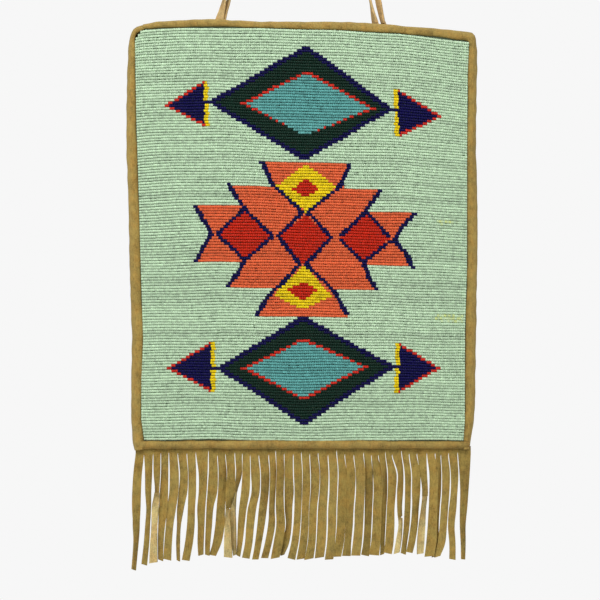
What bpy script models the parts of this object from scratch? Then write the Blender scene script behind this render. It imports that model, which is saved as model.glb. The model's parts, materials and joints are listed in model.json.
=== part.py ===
"""A flat beaded bag that hangs by two hide thongs, with a bound edge and a cut fringe.

Metres, +Z up, +X to the right of the beaded front, which faces -Y. The origin is the
point where the two thong handles hang from their peg. The back is flat. The front bows
forward from its side seams and its foot, so that there is a pocket between the two.
"""

import math

import bmesh
import bpy
from mathutils import Vector

# The bag's outline, without handles and fringe
BAG_HEIGHT = 0.2985
TOP_HALF_WIDTH = 0.1200
HIP_HALF_WIDTH = 0.1228
BOTTOM_HALF_WIDTH = 0.1180
HIP_SHARE = 0.66  # height of the widest place
MOUTH_FALL = 0.0078  # how much lower the mouth's edge is at its right end
MOUTH_FALL_FROM_SHARE = 0.2
MOUTH_FALL_POWER = 1.7
HANDLE_RISE = 0.2170  # peg down to the mouth's left part

# Sheets, from the front to the back
BEAD_THICKNESS = 0.0019
CANVAS_THICKNESS = 0.0006
LINING_THICKNESS = 0.0004
HIDE_THICKNESS = 0.0012
CLEARANCE = 0.0003  # between neighbours at rest
PANEL_CLEARANCE = 0.0006  # round the front, which swings inside the side bindings
POCKET_DEPTH = 0.0080
POCKET_SIDE_POWER = 4
POCKET_FOOT_POWER = 5

# Bindings
BINDING_THICKNESS = 0.0007
SIDE_LEG = 0.0072
MOUTH_LEG = 0.0056
BOTTOM_LEG = 0.0053
CORNER_SLACK = 0.0002
FOLD_STEPS = 2
CORNER_STEPS = 6
SIDE_STEPS = 22

# Fringe
FRINGE_INSET = 0.0008  # from each end of the bottom binding
FRINGE_THICKNESS = 0.0012
FRINGE_HEADER = 0.0015
FRINGE_LENGTH = 0.0760
FRINGE_LEAN = 0.0028
FRINGE_SLIT = 0.0006
FRINGE_TIP_SLIT = 0.0012
STRIP_COUNT = 39
BUNDLE_COUNT = 5
STRIP_LENGTH_SHARES = (1.09, 1.02, 0.98, 1.01, 1.0, 0.98, 0.97, 0.99, 1.0)

# Thong handles
THONG_WIDTH = 0.0055
THONG_THICKNESS = 0.0015
PEG_RADIUS = 0.0060
TAIL_LENGTH = 0.0220
TWIST_LENGTH = 0.0550
FRONT_FOOT_SHARES = (-0.4875, 0.4235)  # of half the mouth's width
BACK_FOOT_SHARES = (-0.4500, 0.4725)
LEG_STEPS = 14
PEG_STEPS = 8

# Beadwork: figures are shares of half the bead field at their height, from its middle
TOP_DIAMOND_SHARES = {"middle": (-0.014, 0.656), "half_size": (0.571, 0.2735)}
BOTTOM_DIAMOND_SHARES = {"middle": (0.017, -0.652), "half_size": (0.551, 0.2687)}
DIAMOND_BAND_SHARES = {
    "navy": (1.0, 1.0),
    "green": (0.93, 0.93),
    "red_line": (0.728, 0.596),
    "turquoise": (0.634, 0.50),
}
ARROW_LENGTH_SHARE = 0.242
ARROW_HALF_HEIGHT_SHARE = 0.113
ARROW_EDGING = 0.0021
ARROW_BAR = 0.0027
ARROW_GAP = 0.0020
STAR_MIDDLE_SHARES = (0.009, 0.0)
STAR_HALF_SIZE_SHARES = (0.667, 0.379)
STAR_LINE = 0.0028
STAR_QUARTER_SHARES = (
    (0.42, 1.0),
    (0.30, 0.67),
    (0.70, 0.67),
    (0.56, 0.37),
    (1.0, 0.37),
    (0.86, 0.0),
)
STAR_RED_SHARES = {"centre": (0.0, 0.27, 0.31), "side": (0.535, 0.265, 0.33)}
STAR_YELLOW_SHARES = (0.655, 0.26, 0.29)
STAR_CENTRE_SHARES = (0.12, 0.12)

BEAD_ROWS = 146
ROWS_PER_RIB = 2  # a rib of the solids stands for two sewn rows

PANEL_COLUMNS = 10
PANEL_ROWS = 22
PANEL_ROW_POWER = 1.4
FOLD_ROW = 2  # the row past the bead field, whose own rows run from 0 to 1
WELD_SHARE = 0.1  # of the clearance

# Places that follow from the sizes
MOUTH_Z = -HANDLE_RISE
BOTTOM_Z = MOUTH_Z - BAG_HEIGHT
POCKET_BACK_Y = POCKET_DEPTH / 2
PANEL_INSET = SIDE_LEG + PANEL_CLEARANCE
CORNER_RADIUS = SIDE_LEG + CORNER_SLACK
FOLD_INSET = BINDING_THICKNESS + CLEARANCE
SEAM_GAP = 2 * FOLD_INSET + CLEARANCE  # room for both mouth folds beside the seams
LINING_BACK_Y = POCKET_BACK_Y - SEAM_GAP
CANVAS_BACK_Y = LINING_BACK_Y - LINING_THICKNESS - CLEARANCE
CANVAS_FRONT_Y = CANVAS_BACK_Y - CANVAS_THICKNESS
BEAD_BACK_Y = CANVAS_FRONT_Y - CLEARANCE
BACK_LINING_Y = POCKET_BACK_Y
BACK_PANEL_Y = BACK_LINING_Y + LINING_THICKNESS + CLEARANCE
BACK_FACE_Y = BACK_PANEL_Y + HIDE_THICKNESS
SEAM_FRONT_Y = CANVAS_FRONT_Y - FOLD_INSET
SEAM_BACK_Y = BACK_FACE_Y + FOLD_INSET
PANEL_FOOT_Z = BOTTOM_Z + BOTTOM_LEG + PANEL_CLEARANCE
FRINGE_AXIS_Z = BOTTOM_Z - CLEARANCE - FRINGE_THICKNESS / 2
TAB_FRONT_Y = POCKET_BACK_Y - CLEARANCE - FRINGE_THICKNESS
FRINGE_Y = TAB_FRONT_Y + FRINGE_THICKNESS / 2
HANDLE_AXIS_Z = MOUTH_Z
MOUTH_HALF_WIDTH = TOP_HALF_WIDTH - PANEL_INSET  # of the mouth bindings
FRINGE_HALF_WIDTH = BOTTOM_HALF_WIDTH - FRINGE_INSET
FIELD_HALF_HEIGHT = (MOUTH_Z - MOUTH_LEG - CLEARANCE - PANEL_FOOT_Z) / 2
FRONT_FEET = [share * TOP_HALF_WIDTH for share in FRONT_FOOT_SHARES]
BACK_FEET = [share * TOP_HALF_WIDTH for share in BACK_FOOT_SHARES]
ARROW_HALF_HEIGHT = ARROW_HALF_HEIGHT_SHARE * FIELD_HALF_HEIGHT
GROOVE_DEPTH = BEAD_THICKNESS / 2  # between rows, which touch at their beads' middles
RIB_STEPS = 2 * BEAD_ROWS // ROWS_PER_RIB  # a groove and a crest for each rib


def clear_scene():
    for item in list(bpy.data.objects):
        bpy.data.objects.remove(item, do_unlink=True)


def collection(name):
    made = bpy.data.collections.new(name)
    bpy.context.scene.collection.children.link(made)
    return made


def material(name, colour, roughness, metallic=0.0):
    made = bpy.data.materials.new(name)
    made.use_nodes = True
    surface = made.node_tree.nodes["Principled BSDF"]
    surface.inputs["Base Color"].default_value = (*colour, 1.0)
    surface.inputs["Roughness"].default_value = roughness
    surface.inputs["Metallic"].default_value = metallic
    made.diffuse_color = (*colour, 1.0)
    return made


clear_scene()
BAG = collection("flat_bag")
CUTTERS = collection("cutters")
FINISHES = {
    "smoked_hide": material("smoked_hide", (0.42, 0.26, 0.09), 0.85),
    "fringe_hide": material("fringe_hide", (0.35, 0.22, 0.08), 0.85),
    "pale_hide": material("pale_hide", (0.62, 0.42, 0.22), 0.85),
    "canvas": material("canvas", (0.55, 0.50, 0.40), 0.90),
    "lining": material("lining", (0.45, 0.38, 0.27), 0.90),
    "mint": material("mint", (0.50, 0.72, 0.50), 0.35),
    "navy": material("navy", (0.006, 0.005, 0.045), 0.30),
    "green": material("green", (0.005, 0.022, 0.012), 0.30),
    "red_line": material("red_line", (0.45, 0.03, 0.02), 0.35),
    "turquoise": material("turquoise", (0.07, 0.31, 0.30), 0.35),
    "yellow": material("yellow", (0.72, 0.52, 0.01), 0.35),
    "orange": material("orange", (0.72, 0.09, 0.03), 0.35),
    "deep_red": material("deep_red", (0.43, 0.02, 0.01), 0.35),
}


def ease(share):
    share = min(max(share, 0.0), 1.0)
    return share * share * (3 - 2 * share)


def lerp(start, end, share):
    return start + (end - start) * share


def half_width(height_share):
    """Half the bag's width at a height given as a share of the bag's height."""
    if height_share < HIP_SHARE:
        return lerp(BOTTOM_HALF_WIDTH, HIP_HALF_WIDTH, ease(height_share / HIP_SHARE))
    return lerp(
        HIP_HALF_WIDTH,
        TOP_HALF_WIDTH,
        ease((height_share - HIP_SHARE) / (1 - HIP_SHARE)),
    )


def mouth_z(x):
    """Height of the mouth's edge, which falls away to the right."""
    across = (x + TOP_HALF_WIDTH) / (2 * TOP_HALF_WIDTH)
    over = max(across - MOUTH_FALL_FROM_SHARE, 0.0) / (1 - MOUTH_FALL_FROM_SHARE)
    return MOUTH_Z - MOUTH_FALL * over**MOUTH_FALL_POWER


def height_share(z):
    return (z - BOTTOM_Z) / BAG_HEIGHT


def field_half_width(z):
    """Half the width of the front's sheets at a height."""
    return half_width(height_share(z)) - PANEL_INSET


def bow(across, up):
    """How far the front stands forward; across runs from -1 to 1, up from 0 at its foot."""
    side = 1 - min(abs(across), 1.0) ** POCKET_SIDE_POWER
    foot = 1 - (1 - min(up, 1.0)) ** POCKET_FOOT_POWER
    return (POCKET_DEPTH - SEAM_GAP) * side * foot


def panel_columns():
    """Places across the front, closer together where it bends towards the seams."""
    return [
        math.sin(math.pi / 2 * (2 * i / PANEL_COLUMNS - 1))
        for i in range(PANEL_COLUMNS + 1)
    ]


def panel_rows():
    """Places up the bead field, on its ribs and closer together at its foot."""
    places = [(i / PANEL_ROWS) ** PANEL_ROW_POWER for i in range(PANEL_ROWS + 1)]
    return [round(place * RIB_STEPS) / RIB_STEPS for place in places]


def panel_point(across, up, front_y):
    """A point of one of the front's sheets; past the bead field up is the mouth's fold."""
    edge = mouth_z(across * MOUTH_HALF_WIDTH)
    bead_top = edge - MOUTH_LEG - CLEARANCE
    z = lerp(PANEL_FOOT_Z, bead_top, up) if up <= 1 else edge - FOLD_INSET
    return Vector((across * field_half_width(z), front_y - bow(across, up), z))


def new_object(name, mesh, finish=None, holder=None):
    made = bpy.data.objects.new(name, mesh)
    (holder or BAG).objects.link(made)
    if finish:
        mesh.materials.append(FINISHES[finish])
    else:
        made.hide_render = True
        made.display_type = "WIRE"
    return made


def grid_mesh(name, columns, rows, place):
    """An open sheet: place(column, row) gives the point of each grid vertex."""
    mesh = bpy.data.meshes.new(name)
    grid = bmesh.new()
    bmesh.ops.create_grid(
        grid, x_segments=len(columns) - 1, y_segments=len(rows) - 1, size=1
    )
    for vertex in grid.verts:
        column = round((vertex.co.x + 1) / 2 * (len(columns) - 1))
        row = round((vertex.co.y + 1) / 2 * (len(rows) - 1))
        vertex.co = place(columns[column], rows[row])
    grid.to_mesh(mesh)
    grid.free()
    return mesh


def thicken(mesh, step):
    """Gives an open sheet its thickness by a copy of it moved by one step."""
    sheet = bmesh.new()
    sheet.from_mesh(mesh)
    made = bmesh.ops.extrude_face_region(
        sheet, geom=sheet.faces[:], use_keep_orig=True
    )
    moved = [item for item in made["geom"] if isinstance(item, bmesh.types.BMVert)]
    bmesh.ops.translate(sheet, vec=step, verts=moved)
    bmesh.ops.recalc_face_normals(sheet, faces=sheet.faces[:])
    sheet.to_mesh(mesh)
    sheet.free()


def front_sheet(name, front_y, thickness, finish):
    """A sheet of the front, from its foot up into the fold of the mouth's binding."""

    def place(across, up):
        return panel_point(across, up, front_y)

    rows = [*panel_rows(), FOLD_ROW]
    mesh = grid_mesh(name, panel_columns(), rows, place)
    thicken(mesh, Vector((0, thickness, 0)))
    return new_object(name, mesh, finish)


def bead_section():
    """The bead sheet's section as (up, depth): ribs up the front, then down a smooth back."""
    ribs = [(i / RIB_STEPS, 0 if i % 2 else GROOVE_DEPTH) for i in range(RIB_STEPS + 1)]
    back = [(up, BEAD_THICKNESS) for up in reversed(panel_rows())]
    return [*ribs, *back, ribs[0]]


def close_end(sheet, column, column_count):
    """Closes one end of a rolled section, by a face between each two rows of its back."""
    corners = sheet.verts[:]
    rows = [round(up * RIB_STEPS) for up in panel_rows()]
    for i, (low, high) in enumerate(zip(rows, rows[1:])):
        back = RIB_STEPS + 1 + PANEL_ROWS - i
        ring = [*range(low, high + 1), back - 1, back]
        sheet.faces.new([corners[row * column_count + column] for row in ring])


def bead_sheet(name, finish):
    """Rows of beads across the whole field, as a sheet that is ribbed in front."""
    front_y = BEAD_BACK_Y - BEAD_THICKNESS

    def place(across, corner):
        up, depth = corner
        return panel_point(across, up, front_y + depth)

    columns = panel_columns()
    mesh = grid_mesh(name, columns, bead_section(), place)
    sheet = bmesh.new()
    sheet.from_mesh(mesh)
    for column in (0, PANEL_COLUMNS):
        close_end(sheet, column, len(columns))
    bmesh.ops.remove_doubles(sheet, verts=sheet.verts[:], dist=CLEARANCE * WELD_SHARE)
    bmesh.ops.triangulate(sheet, faces=sheet.faces[:])
    bmesh.ops.recalc_face_normals(sheet, faces=sheet.faces[:])
    sheet.to_mesh(mesh)
    sheet.free()
    return new_object(name, mesh, finish)


def flat_piece(name, points, front_y, thickness, finish=None):
    """A flat sheet standing in the XZ plane, cut to an outline of (x, z) points."""
    outline = bpy.data.curves.new(name, "CURVE")
    outline.dimensions = "2D"
    outline.fill_mode = "BOTH"
    outline.extrude = thickness / 2
    edge = outline.splines.new("POLY")
    edge.points.add(len(points) - 1)
    for point, (x, z) in zip(edge.points, points, strict=True):
        point.co = (x, z, 0, 1)
    edge.use_cyclic_u = True
    drawn = bpy.data.objects.new(name, outline)
    BAG.objects.link(drawn)
    drawn.rotation_euler.x = math.pi / 2
    drawn.location.y = front_y + thickness / 2
    bpy.context.view_layer.update()
    graph = bpy.context.evaluated_depsgraph_get()
    mesh = bpy.data.meshes.new_from_object(drawn.evaluated_get(graph))
    place = drawn.matrix_world.copy()
    bpy.data.objects.remove(drawn)
    weld(mesh)
    made = new_object(name, mesh, finish, None if finish else CUTTERS)
    made.matrix_world = place
    return made


def weld(mesh):
    """Makes a filled curve's loose caps one surface with its rim."""
    joined = bmesh.new()
    joined.from_mesh(mesh)
    bmesh.ops.remove_doubles(joined, verts=joined.verts[:], dist=CLEARANCE * WELD_SHARE)
    bmesh.ops.recalc_face_normals(joined, faces=joined.faces[:])
    joined.to_mesh(mesh)
    joined.free()
    mesh.materials.clear()


def cut(piece, cutter, operation):
    boolean = piece.modifiers.new(cutter.name, "BOOLEAN")
    boolean.object = cutter
    boolean.operation = operation
    boolean.solver = "EXACT"


def stencil(name, points):
    """A cutter that runs through every sheet of the front."""
    reach = BAG_HEIGHT
    return flat_piece(name, points, -reach / 2, reach)


def grown(points, distance):
    """The outline moved outwards by distance; its points run clockwise."""
    moved = []
    for i, point in enumerate(points):
        before = (Vector(point) - Vector(points[i - 1])).normalized()
        after = (Vector(points[(i + 1) % len(points)]) - Vector(point)).normalized()
        outward = Vector((-before.y, before.x)) + Vector((-after.y, after.x))
        square = Vector((-before.y, before.x)).dot(outward)
        moved.append(tuple(Vector(point) + outward * (distance / square)))
    return moved


def field_point(across, up):
    """A point of the bead field; across and up run from -1 to 1 from its middle."""
    middle_z = PANEL_FOOT_Z + (mouth_z(0) - MOUTH_LEG - PANEL_FOOT_Z) / 2
    z = middle_z + up * FIELD_HALF_HEIGHT
    return Vector((across * field_half_width(z), z))


def rhombus(middle, half_size):
    """A diamond's corners, clockwise from its top."""
    x, z = middle
    wide, high = half_size
    return [(x, z + high), (x + wide, z), (x, z - high), (x - wide, z)]


def bead_field(name, finish, outline, holes=()):
    """The beads of one colour inside an outline, clear of the outlines within it."""
    field = bead_sheet(name, finish)
    edge = stencil(name + "_edge", grown(outline, -CLEARANCE / 2))
    cut(field, edge, "INTERSECT")
    for i, hole in enumerate(holes):
        opening = stencil(f"{name}_opening_{i}", grown(hole, CLEARANCE / 2))
        cut(field, opening, "DIFFERENCE")
    return field


def diamond(name, middle, wide, high):
    """A large diamond: bands of colour, one inside the next."""
    outlines = [
        rhombus(middle, (wide * across, high * up))
        for across, up in DIAMOND_BAND_SHARES.values()
    ]
    fields = []
    for i, finish in enumerate(DIAMOND_BAND_SHARES):
        inner = outlines[i + 1 : i + 2]
        fields.append(bead_field(f"{name}_{finish}", finish, outlines[i], inner))
    return outlines[0], fields


def arrow(name, tip_side, base_x, z):
    """An arrowhead with edged slopes and a bar; tip_side is -1 when it points left."""
    base = base_x + tip_side * (ARROW_BAR + CLEARANCE)
    length = ARROW_LENGTH_SHARE * field_half_width(z)
    apex = (base + tip_side * length, z)
    slopes = [(base, z + ARROW_HALF_HEIGHT), apex, (base, z - ARROW_HALF_HEIGHT)]
    lean = math.hypot(length, ARROW_HALF_HEIGHT)
    drop = ARROW_EDGING * lean / length
    inset = ARROW_EDGING * lean / ARROW_HALF_HEIGHT
    inner = [
        (base, z + ARROW_HALF_HEIGHT - drop),
        (apex[0] - tip_side * inset, z),
        (base, z - ARROW_HALF_HEIGHT + drop),
    ]
    overrun = tip_side * CLEARANCE
    hollow = [(base - overrun, inner[0][1]), *inner, (base - overrun, inner[2][1])]
    bar = [
        (base_x, z + ARROW_HALF_HEIGHT),
        (base - overrun, z + ARROW_HALF_HEIGHT),
        (base - overrun, z - ARROW_HALF_HEIGHT),
        (base_x, z - ARROW_HALF_HEIGHT),
    ]
    whole = [bar[0], *slopes, bar[3]]
    if tip_side < 0:
        slopes, inner, hollow, bar, whole = (
            shape[::-1] for shape in (slopes, inner, hollow, bar, whole)
        )
    fields = [
        bead_field(f"{name}_navy", "navy", inner),
        bead_field(f"{name}_edging", "red_line", slopes, [hollow]),
        bead_field(f"{name}_bar", "yellow", bar),
    ]
    return whole, fields


def star_point(across, up):
    """A point of the stepped figure, in shares of its half size."""
    x, z = STAR_MIDDLE_SHARES
    wide, high = STAR_HALF_SIZE_SHARES
    return tuple(field_point(x + across * wide, z + up * high))


def star_rhombus(across, up, wide, high):
    star_wide, star_high = STAR_HALF_SIZE_SHARES
    middle = star_point(across, up)
    half_size = (
        wide * star_wide * field_half_width(middle[1]),
        high * star_high * FIELD_HALF_HEIGHT,
    )
    return rhombus(middle, half_size)


def star():
    """The stepped figure: an orange ground with outlined red and yellow diamonds."""
    quarter = STAR_QUARTER_SHARES
    right = [*quarter, *((x, -z) for x, z in quarter[-2::-1])]
    left = [(-x, -z) for x, z in right]
    outline = [star_point(across, up) for across, up in [*right, *left]]
    reds = {}
    for name, side in (("left", -1), ("centre", 0), ("right", 1)):
        across, wide, high = STAR_RED_SHARES["side" if side else "centre"]
        reds[name] = star_rhombus(side * across, 0, wide, high)
    lines = [grown(red, STAR_LINE / 2) for red in reds.values()]
    yellows = {}
    centres = {}
    for name, side in (("upper", 1), ("lower", -1)):
        up, wide, high = STAR_YELLOW_SHARES
        yellows[name] = star_rhombus(0, side * up, wide, high)
        centres[name] = star_rhombus(0, side * up, *STAR_CENTRE_SHARES)
    fields = [bead_field("star_orange", "orange", outline, [*lines, *yellows.values()])]
    fields.append(outlined_chain(lines, reds))
    for name, red in reds.items():
        inside = grown(red, -STAR_LINE / 2)
        fields.append(bead_field(f"star_{name}_red", "deep_red", inside))
    for name, yellow in yellows.items():
        centre = [centres[name]]
        fields.append(bead_field(f"star_{name}_yellow", "yellow", yellow, centre))
        fields.append(bead_field(f"star_{name}_heart", "deep_red", centre[0]))
    return outline, fields


def outlined_chain(lines, reds):
    """The navy lines round the three red diamonds, which meet point to point."""
    chain = bead_sheet("star_lines", "navy")
    whole = stencil("star_lines_edge", grown(lines[1], -CLEARANCE / 2))
    for line in (lines[0], lines[2]):
        cut(whole, stencil("star_lines_side", grown(line, -CLEARANCE / 2)), "UNION")
    cut(chain, whole, "INTERSECT")
    for name, red in reds.items():
        inside = grown(red, -STAR_LINE / 2 + CLEARANCE / 2)
        cut(chain, stencil(f"star_lines_{name}_opening", inside), "DIFFERENCE")
    return chain


def beadwork():
    """Every colour of the bead field, and the ground round its figures."""
    figures = []
    fields = []
    for name, shares in (("top", TOP_DIAMOND_SHARES), ("bottom", BOTTOM_DIAMOND_SHARES)):
        middle = field_point(*shares["middle"])
        wide = shares["half_size"][0] * field_half_width(middle.y)
        high = shares["half_size"][1] * FIELD_HALF_HEIGHT
        outline, made = diamond(f"{name}_diamond", middle, wide, high)
        figures.append(outline)
        fields += made
        for side_name, side in (("left", -1), ("right", 1)):
            base_x = middle.x + side * (wide + ARROW_GAP)
            arrow_name = f"{name}_{side_name}_arrow"
            outline, made = arrow(arrow_name, side, base_x, middle.y)
            figures.append(outline)
            fields += made
    outline, made = star()
    figures.append(outline)
    fields += made
    ground = bead_sheet("bead_ground", "mint")
    for i, figure in enumerate(figures):
        opening = stencil(f"ground_opening_{i}", grown(figure, CLEARANCE / 2))
        cut(ground, opening, "DIFFERENCE")
    return [ground, *fields]


def fold_section(leg, front_y, back_y):
    """A binding's section as (inset, y) points: down one leg, over the fold, up the other."""
    turn = []
    for middle_y, start in ((front_y + FOLD_INSET, 0), (back_y - FOLD_INSET, FOLD_STEPS)):
        for i in range(FOLD_STEPS + 1):
            angle = math.pi / 2 * (start + i) / FOLD_STEPS
            inset = FOLD_INSET * (1 - math.sin(angle))
            turn.append((inset, middle_y - FOLD_INSET * math.cos(angle)))
    return [(leg, front_y), *turn, (leg, back_y)]


def binding(name, stations, section, thickness_in):
    """A folded strip; stations give an edge point, its inward direction and its y."""

    def place(station, corner):
        edge, inward, y = station
        inset, depth = corner
        return Vector((edge.x + inward.x * inset, depth + y, edge.y + inward.y * inset))

    mesh = grid_mesh(name, stations, section, place)
    strip = new_object(name, mesh, "smoked_hide")
    shell = strip.modifiers.new("hide", "SOLIDIFY")
    shell.thickness = thickness_in
    shell.offset = 1
    shell.use_even_offset = True
    return strip


def side_stations(side):
    """Along one side from just above the bottom binding, round the top corner."""
    low = BOTTOM_Z + BOTTOM_LEG + CLEARANCE
    corner_x = TOP_HALF_WIDTH - CORNER_RADIUS
    top = mouth_z(side * corner_x)
    high = top - CORNER_RADIUS
    stations = []
    for i in range(SIDE_STEPS):
        z = lerp(low, high, i / SIDE_STEPS)
        edge = Vector((side * half_width(height_share(z)), z))
        stations.append((edge, Vector((-side, 0)), 0))
    for i in range(CORNER_STEPS + 1):
        angle = math.pi / 2 * i / CORNER_STEPS
        outward = Vector((side * math.cos(angle), math.sin(angle)))
        middle = Vector((side * corner_x, high))
        stations.append((middle + outward * CORNER_RADIUS, -outward, 0))
    return stations


def side_binding(name, side):
    section = fold_section(SIDE_LEG, SEAM_FRONT_Y, SEAM_BACK_Y)
    inwards = BINDING_THICKNESS * side
    return binding(name, side_stations(side), section, inwards)


def bottom_binding():
    section = fold_section(BOTTOM_LEG, SEAM_FRONT_Y, SEAM_BACK_Y)
    ends = [Vector((side * BOTTOM_HALF_WIDTH, BOTTOM_Z)) for side in (-1, 1)]
    stations = [(edge, Vector((0, 1)), 0) for edge in ends]
    return binding("bottom_binding", stations, section, BINDING_THICKNESS)


def mouth_stations(bowed):
    """Along the mouth between the side bindings."""
    stations = []
    for across in panel_columns():
        x = across * MOUTH_HALF_WIDTH
        y = -bow(across, 1) if bowed else 0
        stations.append((Vector((x, mouth_z(x))), Vector((0, -1)), y))
    return stations


def mouth_binding(name, front_y, back_y, bowed):
    section = fold_section(MOUTH_LEG, front_y - FOLD_INSET, back_y + FOLD_INSET)
    return binding(name, mouth_stations(bowed), section, -BINDING_THICKNESS)


def back_outline():
    """The back's outline, which lies inside the folds of the bindings."""
    edge = []
    for side in (-1, 1):
        stations = side_stations(side)
        foot = BOTTOM_Z + FOLD_INSET
        run = [(side * (half_width(0) - FOLD_INSET), foot)]
        run += [tuple(point + inward * FOLD_INSET) for point, inward, _ in stations]
        edge.append(run)
    places = [across * MOUTH_HALF_WIDTH for across in panel_columns()]
    mouth = [(x, mouth_z(x) - FOLD_INSET) for x in places]
    return [*edge[0], *mouth, *edge[1][::-1]]


def side_core(name, side):
    """The turned edges of canvas and lining inside a side binding."""
    outer = []
    inner = []
    for point, inward, _ in side_stations(side)[: SIDE_STEPS + 1]:
        outer.append(tuple(point + inward * FOLD_INSET))
        inner.append(tuple(point + inward * SIDE_LEG))
    outline = [*outer, *inner[::-1]]
    thickness = POCKET_BACK_Y - CLEARANCE - CANVAS_FRONT_Y
    return flat_piece(name, outline, CANVAS_FRONT_Y, thickness, "canvas")


def foot_outline():
    """What lies in the fold of the bottom binding."""
    reach = BOTTOM_HALF_WIDTH - FOLD_INSET
    low = BOTTOM_Z + FOLD_INSET
    high = BOTTOM_Z + BOTTOM_LEG
    return [(-reach, low), (-reach, high), (reach, high), (reach, low)]


def build_foot():
    """The turned edges of the front, and behind them the uncut edge of the fringe."""
    thickness = TAB_FRONT_Y - CLEARANCE - CANVAS_FRONT_Y
    flat_piece("bottom_seam_core", foot_outline(), CANVAS_FRONT_Y, thickness, "canvas")
    flat_piece("fringe_tab", foot_outline(), TAB_FRONT_Y, FRINGE_THICKNESS, "fringe_hide")


def strip_length(x):
    """Length of the strip at x, read between hand-chosen shares."""
    shares = STRIP_LENGTH_SHARES
    place = (x + FRINGE_HALF_WIDTH) / (2 * FRINGE_HALF_WIDTH) * (len(shares) - 1)
    left = min(int(place), len(shares) - 2)
    return FRINGE_LENGTH * lerp(shares[left], shares[left + 1], place - left)


def fringe_bundle(name, first, count):
    """Some of the fringe's strips, as one comb-shaped cut of hide."""
    pitch = 2 * FRINGE_HALF_WIDTH / STRIP_COUNT
    start = first * pitch - FRINGE_HALF_WIDTH
    left = start + FRINGE_SLIT / 2
    right = start + count * pitch - FRINGE_SLIT / 2
    comb = [(left, FRINGE_AXIS_Z), (right, FRINGE_AXIS_Z)]
    root_z = FRINGE_AXIS_Z - FRINGE_HEADER
    for i in reversed(range(count)):
        middle = start + i * pitch + pitch / 2
        tip_z = root_z - strip_length(middle)
        half = (pitch - FRINGE_SLIT) / 2
        tip_half = (pitch - FRINGE_TIP_SLIT) / 2
        tip = middle - FRINGE_LEAN
        comb += [(middle + half, root_z), (tip + tip_half, tip_z)]
        comb += [(tip - tip_half, tip_z), (middle - half, root_z)]
    front_y = FRINGE_Y - FRINGE_THICKNESS / 2
    return flat_piece(name, comb, front_y, FRINGE_THICKNESS, "fringe_hide")


def fringe():
    bundles = []
    first = 0
    for i in range(BUNDLE_COUNT):
        last = round(STRIP_COUNT * (i + 1) / BUNDLE_COUNT)
        bundles.append(fringe_bundle(f"fringe_bundle_{i + 1}", first, last - first))
        first = last
    return bundles


def foot_y(side):
    """Where a handle's foot lies: against the inside of the front (-1) or back binding."""
    lip = FOLD_INSET + CLEARANCE + THONG_THICKNESS / 2
    if side > 0:
        return POCKET_BACK_Y - lip
    foot = max(abs(x) for x in FRONT_FEET)
    tail_reach = foot + THONG_WIDTH / 2 + TAIL_LENGTH * foot / HANDLE_RISE
    return LINING_BACK_Y - bow(tail_reach / MOUTH_HALF_WIDTH, 1) + lip


def tangent_angle(foot):
    """Angle on the peg at which the straight leg from a foot meets it."""
    reach = Vector((foot, HANDLE_AXIS_Z + PEG_RADIUS))
    radius = PEG_RADIUS + THONG_THICKNESS / 2
    lean = math.acos(radius / reach.length)
    return math.atan2(reach.y, reach.x) + math.copysign(lean, foot)


def peg_point(angle):
    """A point of the thong's middle line, where it lies round the peg."""
    radius = PEG_RADIUS + THONG_THICKNESS / 2
    return Vector((math.cos(angle), math.sin(angle))) * radius - Vector((0, PEG_RADIUS))


def handle_route(feet):
    """The handle's middle line as (point, outward direction, distance from nearer foot)."""
    angles = [tangent_angle(foot) % (2 * math.pi) for foot in feet]
    angles[1] = (angles[1] + math.pi) % (2 * math.pi) - math.pi
    runs = []
    for foot, angle in zip(feet, angles, strict=True):
        outward = Vector((math.cos(angle), math.sin(angle)))
        start = Vector((foot, HANDLE_AXIS_Z))
        end = peg_point(angle)
        length = (end - start).length
        steps = [(i / LEG_STEPS) ** 2 for i in range(LEG_STEPS)]
        runs.append([(start.lerp(end, s), outward, length * s) for s in steps])
    turn = []
    for i in range(PEG_STEPS + 1):
        angle = lerp(angles[0], angles[1], i / PEG_STEPS)
        outward = Vector((math.cos(angle), math.sin(angle)))
        turn.append((peg_point(angle), outward, HANDLE_RISE))
    return [*runs[0], *turn, *runs[1][::-1]]


def handle(name, feet, side):
    """A flat thong over the peg, face on at its feet and turned edge on above them."""
    route = handle_route(feet)
    low_y = foot_y(side)
    peg_y = side * (THONG_WIDTH / 2 + CLEARANCE)

    def place(station, across):
        point, outward, rise = route[station]
        turned = ease(rise / TWIST_LENGTH)
        angle = math.pi / 2 * turned
        if station > len(route) / 2:
            angle = math.pi - angle
        flat = Vector((outward.x, 0, outward.y)) * math.cos(angle)
        middle = Vector((point.x, lerp(low_y, peg_y, turned), point.y))
        edge_on = Vector((0, math.sin(angle), 0))
        return middle + (flat + edge_on) * (across * THONG_WIDTH / 2)

    mesh = grid_mesh(name, range(len(route)), (-1, 1), place)
    thong = new_object(name, mesh, "pale_hide")
    shell = thong.modifiers.new("hide", "SOLIDIFY")
    shell.thickness = THONG_THICKNESS
    shell.offset = 0
    return thong


def tail(name, foot, side):
    """The sewn end of a handle's thong, inside the pocket, in line with its leg."""
    angle = tangent_angle(foot)
    across = Vector((math.cos(angle), math.sin(angle))) * (THONG_WIDTH / 2)
    down = Vector((foot, HANDLE_AXIS_Z)) - peg_point(angle)
    down.normalize()
    top = Vector((foot, HANDLE_AXIS_Z)) + down * CLEARANCE
    low = top + down * TAIL_LENGTH
    outline = [top - across, top + across, low + across, low - across]
    front_y = foot_y(side) - THONG_THICKNESS / 2
    return flat_piece(name, outline, front_y, THONG_THICKNESS, "pale_hide")


def hinge(name, y, z):
    empty = bpy.data.objects.new(name, None)
    empty.empty_display_size = SIDE_LEG
    empty.location = (0, y, z)
    BAG.objects.link(empty)
    return empty


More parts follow.
